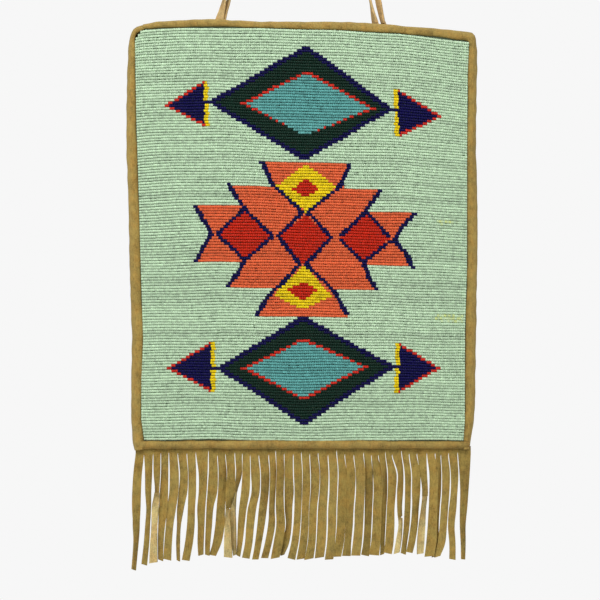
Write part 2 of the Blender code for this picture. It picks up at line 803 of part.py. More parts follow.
def carry(empty, pieces):
    """Parents pieces to an empty on their joint's axis, and leaves them where they are."""
    bpy.context.view_layer.update()
    for piece in pieces:
        place = piece.matrix_world.copy()
        piece.parent = empty
        piece.matrix_parent_inverse = empty.matrix_world.inverted()
        piece.matrix_world = place


def build_back():
    flat_piece("back_panel", back_outline(), BACK_PANEL_Y, HIDE_THICKNESS, "smoked_hide")
    flat_piece("back_lining", back_outline(), BACK_LINING_Y, LINING_THICKNESS, "lining")
    mouth_binding("back_mouth_binding", BACK_LINING_Y, BACK_FACE_Y, False)
    side_binding("left_binding", -1)
    side_binding("right_binding", 1)
    bottom_binding()
    side_core("left_seam_core", -1)
    side_core("right_seam_core", 1)
    build_foot()
    tail("back_left_tail", BACK_FEET[0], 1)
    tail("back_right_tail", BACK_FEET[1], 1)


def build_front():
    canvas = front_sheet("front_canvas", CANVAS_FRONT_Y, CANVAS_THICKNESS, "canvas")
    lining_y = LINING_BACK_Y - LINING_THICKNESS
    lining = front_sheet("front_lining", lining_y, LINING_THICKNESS, "lining")
    edge = mouth_binding("front_mouth_binding", CANVAS_FRONT_Y, LINING_BACK_Y, True)
    tails = [
        tail("front_left_tail", FRONT_FEET[0], -1),
        tail("front_right_tail", FRONT_FEET[1], -1),
    ]
    swing = hinge("mouth_hinge", CANVAS_FRONT_Y, PANEL_FOOT_Z)
    carry(swing, [canvas, lining, edge, *tails, *beadwork()])
    return swing


def binding_middle_y(side):
    """The middle of the front (-1) or back (1) binding at the handle's feet."""
    if side > 0:
        return (BACK_LINING_Y + BACK_FACE_Y) / 2
    lip = FOLD_INSET + CLEARANCE + THONG_THICKNESS / 2
    wall = LINING_BACK_Y - CANVAS_FRONT_Y
    return foot_y(-1) - lip - wall / 2


def build_handles(front_swing):
    front = hinge("front_handle_hinge", binding_middle_y(-1), HANDLE_AXIS_Z)
    carry(front, [handle("front_handle", FRONT_FEET, -1)])
    carry(front_swing, [front])
    back = hinge("back_handle_hinge", binding_middle_y(1), HANDLE_AXIS_Z)
    carry(back, [handle("back_handle", BACK_FEET, 1)])


def build_fringe():
    for bundle in fringe():
        swing = hinge(bundle.name + "_hinge", FRINGE_Y, FRINGE_AXIS_Z)
        carry(swing, [bundle])


def report_places():
    for empty in BAG.objects:
        if empty.type == "EMPTY":
            print(empty.name, [round(value, 6) for value in empty.matrix_world.translation])
    print("back face", round(BACK_FACE_Y, 6), "front bow", round(bow(0, 1), 6))


build_back()
FRONT_SWING = build_front()
build_handles(FRONT_SWING)
build_fringe()
bpy.context.view_layer.update()
report_places()
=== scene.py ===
import json
import math

import bmesh
import bpy
import numpy as np
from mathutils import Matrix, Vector, noise


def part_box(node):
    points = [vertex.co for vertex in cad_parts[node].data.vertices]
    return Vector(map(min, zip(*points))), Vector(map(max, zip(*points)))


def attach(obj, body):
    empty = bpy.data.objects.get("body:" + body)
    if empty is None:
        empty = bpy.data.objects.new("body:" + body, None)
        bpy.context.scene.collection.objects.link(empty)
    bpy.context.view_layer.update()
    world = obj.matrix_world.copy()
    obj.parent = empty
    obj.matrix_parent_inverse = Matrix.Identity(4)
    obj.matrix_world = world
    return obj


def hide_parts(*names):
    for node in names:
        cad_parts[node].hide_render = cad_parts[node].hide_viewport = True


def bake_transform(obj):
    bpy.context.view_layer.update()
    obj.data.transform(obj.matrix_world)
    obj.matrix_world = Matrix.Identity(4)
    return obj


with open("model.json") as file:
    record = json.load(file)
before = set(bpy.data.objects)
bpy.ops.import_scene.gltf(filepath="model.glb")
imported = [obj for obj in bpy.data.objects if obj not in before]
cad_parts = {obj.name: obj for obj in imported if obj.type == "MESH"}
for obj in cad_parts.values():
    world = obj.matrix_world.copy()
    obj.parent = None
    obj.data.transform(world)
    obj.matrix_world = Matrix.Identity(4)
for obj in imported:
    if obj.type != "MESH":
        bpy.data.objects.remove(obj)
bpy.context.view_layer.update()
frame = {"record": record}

# Places are metres in the bag's own frame; +X is to the right of its beaded front, which faces -Y

photo = {
    "pixel": 0.0007,  # metres on the bag for a pixel of the 600-pixel photograph
    "middle": 302.5,  # the pixel column at x = 0
    "rise": 288,  # pixel rows from the picture's top edge up to the peg
    "side": 600,
    "distance": 2.5,
    "sensor": 36.0,
    "farthest": 50,
}


def fromPhoto(column, row):
    x = (np.asarray(column, float) - photo["middle"]) * photo["pixel"]
    z = -(np.asarray(row, float) + photo["rise"]) * photo["pixel"]
    return x, z


def addCamera():
    x, z = fromPhoto(photo["side"] / 2, photo["side"] / 2)
    lens = bpy.data.cameras.new("camera")
    lens.sensor_width = photo["sensor"]
    lens.lens = photo["sensor"] * photo["distance"] / (photo["side"] * photo["pixel"])
    lens.clip_end = photo["farthest"]
    camera = bpy.data.objects.new("camera", lens)
    camera.location = (x, -photo["distance"], z)
    camera.rotation_euler = (math.pi / 2, 0, 0)
    bpy.context.scene.collection.objects.link(camera)
    bpy.context.scene.camera = camera
    bpy.context.scene.view_settings.view_transform = "Standard"


addCamera()
print("camera ready")

# Shaders


class Wire:  # a socket's value, on which sums can be written
    def __init__(self, nodes, socket):
        self.nodes = nodes
        self.socket = socket

    def sum(self, operation, a, b=0.0):
        return self.nodes.node("ShaderNodeMath", {"operation": operation}, {0: a, 1: b})

    def __add__(self, other):
        return self.sum("ADD", self, other)

    def __radd__(self, other):
        return self.sum("ADD", other, self)

    def __sub__(self, other):
        return self.sum("SUBTRACT", self, other)

    def __rsub__(self, other):
        return self.sum("SUBTRACT", other, self)

    def __mul__(self, other):
        return self.sum("MULTIPLY", self, other)

    def __rmul__(self, other):
        return self.sum("MULTIPLY", other, self)

    def within(self):  # held between 0 and 1
        return self.nodes.node("ShaderNodeClamp", {}, {0: self})

    def sine(self):
        return self.sum("SINE", self)


class Nodes:  # the nodes of a material or of the world
    def __init__(self, tree):
        self.tree = tree

    def node(self, kind, settings, values, output=0):
        made = self.tree.nodes.new(kind)
        for name, value in settings.items():
            if name == "stops":
                self.setStops(made.color_ramp, value)
            else:
                setattr(made, name, value)
        for socket, value in values.items():
            self.feed(made.inputs[socket], value)
        return Wire(self, made.outputs[output])

    def setStops(self, ramp, stops):
        while len(ramp.elements) < len(stops):
            ramp.elements.new(1.0)
        for element, (place, colour) in zip(ramp.elements, stops):
            element.position = place
            element.color = (*colour, 1.0)

    def feed(self, socket, value):
        if isinstance(value, Wire):
            self.tree.links.new(value.socket, socket)
        elif isinstance(value, tuple) and len(value) == 3 and socket.type == "RGBA":
            socket.default_value = (*value, 1.0)
        else:
            socket.default_value = value


class Finish(Nodes):  # a material, from its principled shader back
    def __init__(self, name, **settings):
        self.material = bpy.data.materials.new(name)
        self.material.use_nodes = True
        super().__init__(self.material.node_tree)
        self.shader = self.tree.nodes["Principled BSDF"]
        self.drive(**settings)

    def drive(self, **values):
        for socket, value in values.items():
            self.feed(self.shader.inputs[socket.replace("_", " ")], value)

    def place(self):
        return self.node("ShaderNodeTexCoord", {}, {}, "Object")

    def along(self, axis):
        return self.node("ShaderNodeSeparateXYZ", {}, {0: self.place()}, axis)

    def stretched(self, scale):
        return self.node("ShaderNodeVectorMath", {"operation": "MULTIPLY"}, {0: self.place(), 1: scale})

    def noise(self, scale, detail=2.0, rough=0.5, at=None):
        values = {"Vector": at or self.place(), "Scale": scale, "Detail": detail, "Roughness": rough}
        return self.node("ShaderNodeTexNoise", {}, values)

    def ramp(self, value, places, colours):
        return self.node("ShaderNodeValToRGB", {"stops": tuple(zip(places, colours))}, {0: value})

    def mix(self, share, a, b, mode="MIX"):
        settings = {"data_type": "RGBA", "blend_type": mode}
        return self.node("ShaderNodeMix", settings, {0: share, 6: a, 7: b}, 2)

    def painted(self, name):  # a value that the mesh holds at each point
        return self.node("ShaderNodeAttribute", {"attribute_name": name}, {}, "Fac")

    def bump(self, height, distance, strength=1.0):
        values = {"Strength": strength, "Distance": distance, "Height": height}
        return self.node("ShaderNodeBump", {}, values)


def shades(colour, dark, pale):
    return tuple(tuple(part * share for part in colour) for share in (dark, 1.0, pale))


def together(marks, shares):
    return sum(mark * share for mark, share in zip(marks, shares))


napped = {
    # Scale, detail and roughness of each noise
    "clouds": (60, 4.0, 0.6), "blotches": (230, 3.0, 0.6), "hues": (150, 3.0, 0.6), "nap": (1150, 3.0, 0.7),
    "fibres": (1.0, 2.0, 0.6), "fibreStretch": (900, 900, 260),
    "markShares": (0.22, 0.26, 0.30, 0.22),  # of the clouds, blotches, nap and fibres in the tone
    "tones": (0.41, 0.50, 0.59), "shades": (0.62, 1.266),
    "warm": (1.07, 0.95, 0.86), "warmFrom": 0.42, "warmGain": 5,
    "rubbedAndLitPower": 0.75, "darkShade": (0.24, 0.25, 0.26),
    "reliefShares": (0.6, 0.5, 0.5),  # of the nap, fibres and blotches in the relief
    "napDepth": 0.00016, "roughness": (0.84, 0.97),
}


def hideFinish(name, colour):
    # Smoked hide: cloudy, with a short nap; paler where it is worn and where a highlight is painted, and
    # darker where shade is painted in tucks and creases
    look = Finish(name, Sheen_Weight=0.03, Sheen_Roughness=0.6, Specular_IOR_Level=0.15)
    clouds, blotches, hues, nap = (
        look.noise(*napped[key]) for key in ("clouds", "blotches", "hues", "nap"))
    fibres = look.noise(*napped["fibres"], look.stretched(napped["fibreStretch"]))
    tone = together((clouds, blotches, nap, fibres), napped["markShares"])
    ground = look.ramp(tone, napped["tones"], shades(colour, *napped["shades"]))
    warmed = look.mix(1.0, ground, napped["warm"], "MULTIPLY")
    warmth = (hues - napped["warmFrom"]) * napped["warmGain"]
    ground = look.mix(warmth.within(), ground, warmed)
    # The painted value: above zero paler, for worn places and painted highlights; below zero darker, for
    # painted shade
    wear = look.painted("wear")
    rubbedAndLit = look.mix(wear.within(), ground, tuple(part ** napped["rubbedAndLitPower"] for part in colour))
    darkShade = tuple(part * share for part, share in zip(colour, napped["darkShade"]))
    low, high = napped["roughness"]
    look.drive(
        Base_Color=look.mix((wear * -1.0).within(), rubbedAndLit, darkShade),
        Roughness=nap * (high - low) + low,
        Normal=look.bump(together((nap, fibres, blotches), napped["reliefShares"]), napped["napDepth"]),
    )
    return look.material


glass = {
    "tones": (0.0, 0.5, 1.0), "shades": (0.72, 1.22), "roughness": (0.26, 0.46),
    "ripple": 900, "rippleDepth": 0.00004, "rippleStrength": 0.5,
    "streak": (0.62, 0.70, 0.26),  # a yellower batch among the mint beads
}


def glassFinish(name, colour):
    # Opaque glass beads: every bead has its own shade, and its gloss is a little uneven
    look = Finish(name, IOR=1.5, Specular_IOR_Level=0.13)
    tint = look.painted("tint") * 0.5 + 0.5
    seen = look.ramp(tint, glass["tones"], shades(colour, *glass["shades"]))
    if name == "mint":
        seen = look.mix(look.painted("streak"), seen, glass["streak"])
    ripple = look.noise(glass["ripple"])
    low, high = glass["roughness"]
    look.drive(
        Base_Color=seen,
        Roughness=ripple * (high - low) + low,
        Normal=look.bump(ripple, glass["rippleDepth"], glass["rippleStrength"]),
    )
    return look.material


woven = {
    "threads": {"canvas": 0.0007, "lining": 0.0005}, "slubs": (300, 300, 1400), "fluff": 2600,
    "markShares": (0.5, 0.35, 0.15),  # of the weave, slubs and fluff in the tone
    "tones": (0.25, 0.5, 0.75), "shades": (0.62, 1.15),
    "reliefShares": (1.0, 0.3), "depthShare": 0.3, "roughness": (0.85, 0.95),
}


def clothFinish(name, colour):
    # Plain weave: threads over and under each other, with slubs and fluff
    look = Finish(name, Sheen_Weight=0.03, Specular_IOR_Level=0.1)
    thread = woven["threads"][name]
    across, up = ((look.along(axis) * (math.pi / thread)).sine() for axis in "XZ")
    weave = across * up * 0.5 + 0.5
    slubs = look.noise(1.0, at=look.stretched(woven["slubs"]))
    fluff = look.noise(woven["fluff"])
    tone = together((weave, slubs, fluff), woven["markShares"])
    low, high = woven["roughness"]
    look.drive(
        Base_Color=look.ramp(tone, woven["tones"], shades(colour, *woven["shades"])),
        Roughness=fluff * (high - low) + low,
        Normal=look.bump(together((weave, fluff), woven["reliefShares"]), thread * woven["depthShare"]),
    )
    return look.material


colours = {
    "smokedHide": (0.330, 0.230, 0.062),
    "fringeHide": (0.305, 0.217, 0.055),
    "cutHide": (0.30, 0.215, 0.065),
    "fleshHide": (0.55, 0.44, 0.19),
    "paleHide": (0.53, 0.378, 0.168),
    # canvas: the cloth's own olive colour, darkened and greened as painted shade and painted green light
    # from the mint beads where it shows between bead rows
    "canvas": (0.130, 0.175, 0.115),
    "lining": (0.45, 0.38, 0.27),
    "thread": (0.30, 0.24, 0.14),
}
beadColours = {
    "mint": (0.495, 0.655, 0.455),
    "navy": (0.002, 0.001, 0.055),
    "green": (0.003, 0.020, 0.012),
    "red_line": (0.56, 0.026, 0.014),
    "turquoise": (0.108, 0.345, 0.328),
    "yellow": (0.77, 0.575, 0.007),
    "orange": (0.69, 0.126, 0.044),
    "deep_red": (0.50, 0.018, 0.005),
}
finishes = {name: glassFinish(name, colour) for name, colour in beadColours.items()}
for finishName, colour in colours.items():
    makeFinish = clothFinish if finishName in woven["threads"] else hideFinish
    finishes[finishName] = makeFinish(finishName, colour)
print("finishes ready")

# Sizes that the frame gives, and the curves that its sheets follow

seamFront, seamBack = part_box("left_binding")[0].y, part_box("left_binding")[1].y
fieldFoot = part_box("bead_ground")[0].z
bag = {
    "height": 0.2985, "topHalf": 0.1200, "hipHalf": 0.1228, "bottomHalf": 0.1180, "hipShare": 0.66,
    "fall": 0.0078, "fallFrom": 0.2, "fallPower": 1.7,
    "bottom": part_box("bottom_binding")[0].z,
    "leg": 0.0078,  # from the bag's edge to the front's own sheets
    "mouthLeg": 0.0059,
    "canvas": 0.0006, "lining": 0.0004,
    "sidePower": 4, "footPower": 5,
}
bag["mouth"] = bag["bottom"] + bag["height"]
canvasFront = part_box("front_canvas")[1].y - bag["canvas"]
bag["bow"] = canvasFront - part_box("front_canvas")[0].y
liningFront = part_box("front_lining")[1].y - bag["lining"]


def ease(share):
    share = np.clip(share, 0.0, 1.0)
    return share * share * (3 - 2 * share)


def halfWidth(z):
    share = (np.asarray(z, float) - bag["bottom"]) / bag["height"]
    low = bag["bottomHalf"] + (bag["hipHalf"] - bag["bottomHalf"]) * ease(share / bag["hipShare"])
    over = ease((share - bag["hipShare"]) / (1 - bag["hipShare"]))
    return np.where(share < bag["hipShare"], low, bag["hipHalf"] + (bag["topHalf"] - bag["hipHalf"]) * over)


def mouthLine(x):
    across = (np.asarray(x, float) + bag["topHalf"]) / (2 * bag["topHalf"])
    over = np.clip(across - bag["fallFrom"], 0, None) / (1 - bag["fallFrom"])
    return bag["mouth"] - bag["fall"] * over ** bag["fallPower"]


def bow(x, z):  # how far the front stands forward of its flat seams
    across = np.clip(np.abs(x) / (halfWidth(z) - bag["leg"]), 0, 1)
    up = np.clip((z - fieldFoot) / (mouthLine(x) - bag["mouthLeg"] - fieldFoot), 0, 1)
    return bag["bow"] * (1 - across ** bag["sidePower"]) * (1 - (1 - up) ** bag["footPower"])


def curve(points, count):  # evenly spaced rows of a smooth curve through given rows
    points = np.array(points, float)
    steps = np.linalg.norm(np.diff(points[:, :2], axis=0), axis=1)
    lengths = np.concatenate([[0], np.cumsum(steps)])
    padded = np.vstack([2 * points[0] - points[1], points, 2 * points[-1] - points[-2]])
    made = []
    for target in np.linspace(0, lengths[-1], count):
        i = min(np.searchsorted(lengths, target, side="right") - 1, len(points) - 2)
        t = (target - lengths[i]) / (lengths[i + 1] - lengths[i])
        a, b, c, d = padded[i:i + 4]
        made.append(0.5 * (2 * b + (c - a) * t + (2 * a - 5 * b + 4 * c - d) * t ** 2
                           + (3 * b - a - 3 * c + d) * t ** 3))
    return np.array(made)


def paint(mesh, name, values):
    mesh.attributes.new(name, "FLOAT", "POINT").data.foreach_set("value", np.asarray(values, np.float32))


def newPiece(name, mesh, *finishNames):
    piece = bpy.data.objects.new(name, mesh)
    bpy.context.scene.collection.objects.link(piece)
    for finishName in finishNames:
        mesh.materials.append(finishes[finishName])
    return piece


sharpEdge = math.radians(50)


def turnOut(mesh):  # faces look outwards, smooth except at real edges
    shell = bmesh.new()
    shell.from_mesh(mesh)
    bmesh.ops.recalc_face_normals(shell, faces=shell.faces[:])
    shell.to_mesh(mesh)
    shell.free()
    mesh.shade_smooth()
    mesh.set_sharp_from_angle(angle=sharpEdge)


def loft(name, rings, finishName, wear=None):  # a closed skin over rings of points
    stations, count = rings.shape[:2]
    faces = [list(range(count)), [(stations - 1) * count + i for i in range(count)]]
    for j in range(stations - 1):
        for i in range(count):
            k = (i + 1) % count
            faces.append((j * count + i, j * count + k, (j + 1) * count + k, (j + 1) * count + i))
    mesh = bpy.data.meshes.new(name)
    mesh.from_pydata(rings.reshape(-1, 3).tolist(), [], faces)
    if wear is not None:
        paint(mesh, "wear", np.broadcast_to(wear, (stations, count)).reshape(-1))
    turnOut(mesh)
    return newPiece(name, mesh, finishName)


def layer(name, front, back, finishName):  # a thin closed sheet between two grids of points
    rows, columns = front.shape[:2]
    points = np.concatenate([front.reshape(-1, 3), back.reshape(-1, 3)])
    half = rows * columns
    faces = []
    for j in range(rows - 1):
        for i in range(columns - 1):
            corner = j * columns + i
            quad = (corner, corner + 1, corner + columns + 1, corner + columns)
            faces += [quad, tuple(half + c for c in quad)]
    rim = [*range(columns - 1), *range(columns - 1, half - 1, columns)]
    rim += [*range(half - 1, half - columns, -1), *range(half - columns, 0, -columns)]
    for a, b in zip(rim, [*rim[1:], rim[0]]):
        faces.append((a, b, half + b, half + a))
    mesh = bpy.data.meshes.new(name)
    mesh.from_pydata(points.tolist(), [], faces)
    turnOut(mesh)
    return newPiece(name, mesh, finishName)


noise.seed_set(3)  # without it the noise starts from the clock, and the lumps move at every run
seedSteps = (7.3, 3.1, 5.7)  # far enough apart for every piece to be uneven in its own way


def unevenness(points, scale, amount, seed):
    shift = Vector([seed * step for step in seedSteps])
    made = [noise.noise_vector(Vector(point) * scale + shift) for point in points.reshape(-1, 3)]
    return points + np.array(made).reshape(points.shape) * amount


def hangOnFront(piece):
    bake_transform(piece)


# Beadwork

beadwork = {
    "rows": 146, "seed": 11,
    "length": 0.00152, "radius": 0.00093, "gap": 0.00005,  # between a bead and its canvas
    "lengthSpread": 0.10, "radiusSpread": 0.025, "wander": 0.00003, "tilt": 0.035,
    "small": 0.03, "smallShare": 0.82, "rowTint": 0.20, "beadTint": 0.34,
    "waves": ((0.40, 37, 0.06), (0.24, 12, 0.10)),  # reach and length in pixels, turn from row to row
    "sides": 8,
    "profile": ((-0.51, 0.80), (-0.31, 1.0), (0.31, 1.0), (0.51, 0.80)),  # shares of length and radius
    "slopeReach": 4,  # pixels to each side over which a row's slope is taken
    "ends": {"leftEdge": 140, "rightEdge": 466}, "rounds": 3,  # first guesses and how often they are mended
    "under": 0.6,  # pixels by which a row reaches under the lip of a side binding
    "topEdge": ((134, 30.8), (142, 29.8), (160, 28.9), (180, 28.3), (215, 28), (260, 29), (300, 30.2),
                (340, 31.5), (400, 34.4), (468.5, 41.7)),
    "bottomEdge": ((144.8, 440.7), (222, 439.6), (300, 441), (463, 440.5)),
    "leftEdge": ((142.2, 29), (140.6, 32.5), (138.0, 35), (136.0, 38), (135.6, 42), (137, 120),
                 (139.6, 200), (141.5, 270), (143.8, 340), (142, 380), (142, 420), (144.8, 440.7)),
    "cornerBend": {"column": 147, "reach": 9, "fall": 1.5, "rows": 4},  # the top rows' left ends
    "rightEdge": ((468.5, 42), (467, 75), (466.5, 150), (466.3, 270), (464.4, 330),
                  (464.2, 420), (462.8, 440)),
    "streaks": ((437, 463, 220, 224.5), (435, 464, 315, 322.6)),
    "bands": 3,  # of each half of the ground
}
# Pixels: half a navy line, which is two beads wide, an arrowhead's bar and edging, and the
# shortest run of a stepped outline that keeps to one row
figures = {"lineHalf": 2.55, "bar": 4.3, "edging": 4.6, "run": 12}

# Corners of the figures, as pixel columns and rows of the photograph, later ones over earlier ones
topDiamond = (
    ("navy", ((306.5, 45.5), (394, 111.5), (304.5, 160), (207.7, 103.5))),
    ("green", ((306.2, 51.2), (385.4, 111.4), (304.5, 154.6), (216.2, 103.5))),
    ("red_line", ((307, 70.2), (375.8, 110.6), (304.5, 137), (240.7, 104.5))),
    ("turquoise", ((307, 73), (369.9, 110.3), (304.5, 134.5), (246.8, 104.5))),
)
bottomDiamond = (
    ("navy", ((302.5, 315), (396, 367), (304, 426.5), (216, 367))),
    ("green", ((302.6, 320.6), (387.4, 367), (304, 421), (224.6, 367))),
    ("red_line", ((302.8, 339.5), (368.8, 366.8), (304.2, 401.2), (241.4, 368.2))),
    ("turquoise", ((302.8, 342.3), (363.0, 367.3), (303.6, 398.4), (247.4, 368.3))),
)
# An arrowhead: its apex, the two ends of its base, and the ends of the neck that joins it
arrows = (
    ((164.2, 105.2), (203.9, 80.7), (205.0, 127), (204.8, 103.1, 212)),
    ((441.7, 116.5), (398.2, 91.2), (398.4, 137.5), (389, 111.8, 398)),
    ((167, 368.9), (210.8, 340.9), (211.2, 392.1), (211, 366.8, 220)),
    ((440.3, 367.5), (399.8, 342.3), (399.0, 392.1), (391, 366.8, 399)),
)
starOutline = (
    (261.3, 160.4), (272.7, 184.3), (272, 186.7), (228.4, 184.3), (236, 197), (244.6, 209), (242, 206),
    (195.4, 205), (204.1, 221.7), (212.1, 234.5), (203.3, 247.5), (196.2, 262), (243.6, 262.5),
    (236, 276.2), (226.5, 287.8), (280, 287.8), (274.3, 289.8), (264.7, 301.7),
    (256.7, 315.5), (348.1, 315.4), (341.4, 304.6), (336.5, 294.7), (334.8, 289.5), (375.8, 289.7),
    (368, 275.6), (363, 265.6), (366.3, 265.6), (414.4, 269), (405.3, 252.4), (396.1, 243.3),
    (394.5, 238), (404.4, 224.6), (414.4, 214.5), (411.9, 213.8), (368.8, 210.1), (365.9, 209),
    (373.8, 199.7), (380.8, 188.6), (343.9, 187.5), (344.7, 174.9), (350.1, 162.9),
)
starFills = (
    ("yellow", ((306.4, 163), (336.5, 187.3), (305.6, 213), (276.7, 185))),
    ("yellow", ((303.8, 266), (332.3, 295.5), (302.3, 311.5), (274.3, 294.6))),
    ("deep_red", ((306, 178.4), (319, 188.6), (305.2, 197.2), (292.6, 187.9))),
    ("deep_red", ((304, 282.8), (316.6, 291.8), (303, 301), (287.8, 291.4))),
    ("deep_red", ((245, 211), (271, 236.6), (245, 260), (219, 235))),
    ("deep_red", ((305.5, 214.5), (330, 237.5), (304, 265), (279.5, 236.6))),
    ("deep_red", ((366, 212), (389, 239.5), (363, 262), (341, 237.5))),
)
starLines = (
    ((261.3, 160.4), (272.7, 184.3), (300.5, 210), (302, 214.5)),
    ((350.1, 162.9), (344.7, 174.9), (339.8, 186.5), (336.5, 189.8), (319.9, 202.2), (308.3, 211.4),
     (309, 215)),
    ((228.4, 183.9), (236, 197), (244.6, 209), (247.2, 212.2), (272, 236.5)),
    ((244.4, 209), (240.8, 213), (217.7, 234)),
    ((380.8, 188.6), (373.8, 199.7), (365.9, 209.5), (363.8, 213.8), (338.9, 237.5)),
    ((365.9, 211.3), (370.4, 215.5), (390.3, 238.7)),
    ((195.4, 205), (204.1, 221.7), (212.1, 234.5), (203.3, 247.5), (196.2, 262)),
    ((414.4, 214.5), (404.4, 224.6), (394.5, 238), (396.1, 243.3), (405.3, 252.4), (413.5, 269.4)),
    ((302, 213), (278, 236.6), (299.8, 265.1)),
    ((309, 213), (330.6, 237.5), (307.4, 263.2)),
    ((217.7, 235), (245.2, 260.5)),
    ((272, 238), (245.2, 260.5)),
    ((245.2, 259.8), (236, 276.2), (226.5, 287.8)),
    ((299.8, 265.1), (280.7, 285.8), (274.3, 289.8), (264.7, 301.7), (256.7, 315.5)),
    ((307.4, 263.2), (307.4, 266.5), (331.5, 288), (336.5, 294.7), (341.4, 304.6), (348.1, 315)),
    ((338.9, 238.5), (363, 262.3)),
    ((390.3, 240.5), (363.4, 262.3)),
    ((363, 261.4), (368, 275.6), (376.5, 290)),
)
starGaps = (("orange", 215, 234), ("orange", 391, 238.5), ("orange", 274.5, 236.6),
            ("orange", 335, 238), ("yellow", 305.4, 212.5))


def edgeAt(name, place, by=0):
    points = np.array(beadwork[name])
    points = points[np.argsort(points[:, by])]
    return np.interp(place, points[:, by], points[:, 1 - by])


def rowOf(column, row):  # counted up from the foot, so that a whole number lies between two rows
    low, high = edgeAt("bottomEdge", column), edgeAt("topEdge", column)
    return beadwork["rows"] * (low - row) / (low - high)


def inside(columns, rows, corners):
    found = np.zeros(len(columns), bool)
    for (x1, y1), (x2, y2) in zip(corners, [*corners[1:], corners[0]]):
        if y1 == y2:
            continue
        crosses = (rows < y1) != (rows < y2)
        found ^= crosses & (columns < x1 + (rows - y1) * (x2 - x1) / (y2 - y1))
    return found


def onRows(corners):  # a stepped outline: its level edges keep to one row
    made = []
    for column, row in corners:
        level = round(float(rowOf(column, row)))
        if made and abs(level - made[-1][1]) <= 1 and abs(column - made[-1][0]) > figures["run"]:
            level = made[-1][1]
        made.append((column, level))
    return made


def onMiddles(corners):  # a diamond's corners lie on the middles of rows
    return [(column, round(float(rowOf(column, row)) - 0.5) + 0.5) for column, row in corners]


def lineShapes(points):
    half = figures["lineHalf"]
    corners = [(column, float(rowOf(column, row))) for column, row in points]
    for (x1, y1), (x2, y2) in zip(corners, corners[1:]):
        yield [(x1 - half, y1), (x1 + half, y1), (x2 + half, y2), (x2 - half, y2)]


def oneRow(column, row, left, right):
    level = math.floor(float(rowOf(column, row)))
    return [(left, level), (right, level), (right, level + 1), (left, level + 1)]


def arrowShapes(apex, upper, lower, neck):
    tipSide = math.copysign(1, apex[0] - upper[0])
    up, low = (np.array(onRows([corner])[0], float) for corner in (upper, lower))
    point = np.array(onMiddles([apex])[0])
    yield "red_line", (up, point, low)
    drop = np.array((0, 1.0))
    inset = np.array((tipSide * figures["edging"], 0))
    yield "navy", (up - drop, point - inset, low + drop)
    bar = np.array((tipSide * figures["bar"], 0))
    yield "yellow", (up, low, low - bar, up - bar)
    left, row, right = neck
    yield "navy", oneRow(left, row, left, right)


def allShapes():
    for slotName, corners in (*topDiamond, *bottomDiamond):
        yield slotName, onMiddles(corners)
    for arrow in arrows:
        yield from arrowShapes(*arrow)
    yield "orange", onRows(starOutline)
    for slotName, corners in starFills:
        yield slotName, onMiddles(corners)
    for points in starLines:
        for shape in lineShapes(points):
            yield "navy", shape
    for slotName, column, row in starGaps:
        half = figures["lineHalf"] / 2
        yield slotName, oneRow(column, row, column - half, column + half)


def rowEnds(share):  # the columns where a row starts and stops
    for side, column in beadwork["ends"].items():
        for _ in range(beadwork["rounds"]):
            row = (1 - share) * edgeAt("bottomEdge", column) + share * edgeAt("topEdge", column)
            column = float(edgeAt(side, row, 1))
        yield column


def rowWave(column, i):  # how far a row strays from its level, in pixels
    wave = sum(reach * np.sin(column / length + i * turn) for reach, length, turn in beadwork["waves"])
    bend = beadwork["cornerBend"]
    inBend = np.clip((bend["column"] - column) / bend["reach"], 0, None) ** 2
    return wave + bend["fall"] * inBend * math.exp((i + 1 - beadwork["rows"]) / bend["rows"])


def layBeads():  # one line of numbers for each bead, row by row
    rng = np.random.default_rng(beadwork["seed"])
    found = {key: [] for key in ("column", "row", "level", "length", "tint")}
    pitch = beadwork["length"] / photo["pixel"]
    for i in range(beadwork["rows"]):
        share = (i + 0.5) / beadwork["rows"]
        start, stop = rowEnds(share)
        start, stop = start - beadwork["under"], stop + beadwork["under"]
        count = round((stop - start) / pitch)
        lengths = 1 + beadwork["lengthSpread"] * rng.standard_normal(count).clip(-2, 2)
        lengths *= (stop - start) / lengths.sum()
        column = start + np.cumsum(lengths) - lengths / 2
        low, high = edgeAt("bottomEdge", column), edgeAt("topEdge", column)
        found["column"].append(column)
        found["row"].append((1 - share) * low + share * high + rowWave(column, i))
        found["level"].append(np.full(count, i + 0.5))
        found["length"].append(lengths * photo["pixel"])
        rowTint = beadwork["rowTint"] * rng.standard_normal()
        found["tint"].append(rowTint + beadwork["beadTint"] * rng.standard_normal(count))
    beads = {key: np.concatenate(value) for key, value in found.items()}
    count = len(beads["level"])
    beads["slot"] = np.full(count, "mint", dtype=object)
    for slotName, shape in allShapes():
        beads["slot"][inside(beads["column"], beads["level"], shape)] = slotName
    beads["streak"] = np.zeros(count)
    for left, right, top, bottom in beadwork["streaks"]:
        hit = (beads["column"] > left) & (beads["column"] < right)
        hit &= (beads["row"] > top) & (beads["row"] < bottom)
        beads["streak"][hit] = rng.random(hit.sum()) ** 2
    beads["x"], beads["z"] = fromPhoto(beads["column"], beads["row"])
    beads["z"] += beadwork["wander"] * rng.standard_normal(count)
    beads["radius"] = beadwork["radius"] * (1 + beadwork["radiusSpread"] * rng.standard_normal(count))
    beads["radius"][rng.random(count) < beadwork["small"]] *= beadwork["smallShare"]
    seat = canvasFront - beads["radius"] - beadwork["gap"]
    beads["y"] = seat - bow(beads["x"], beads["z"]) + beadwork["wander"] * rng.standard_normal(count)
    step = 0.5 * photo["pixel"]
    slope = (bow(beads["x"] - step, beads["z"]) - bow(beads["x"] + step, beads["z"])) / (2 * step)
    beads["yaw"] = slope + beadwork["tilt"] * rng.standard_normal(count)
    reach = beadwork["slopeReach"]
    rise = edgeAt("topEdge", beads["column"] + reach) - edgeAt("topEdge", beads["column"] - reach)
    slope = -rise / (2 * reach) * beads["level"] / beadwork["rows"]
    beads["pitch"] = slope + beadwork["tilt"] * rng.standard_normal(count)
    return beads


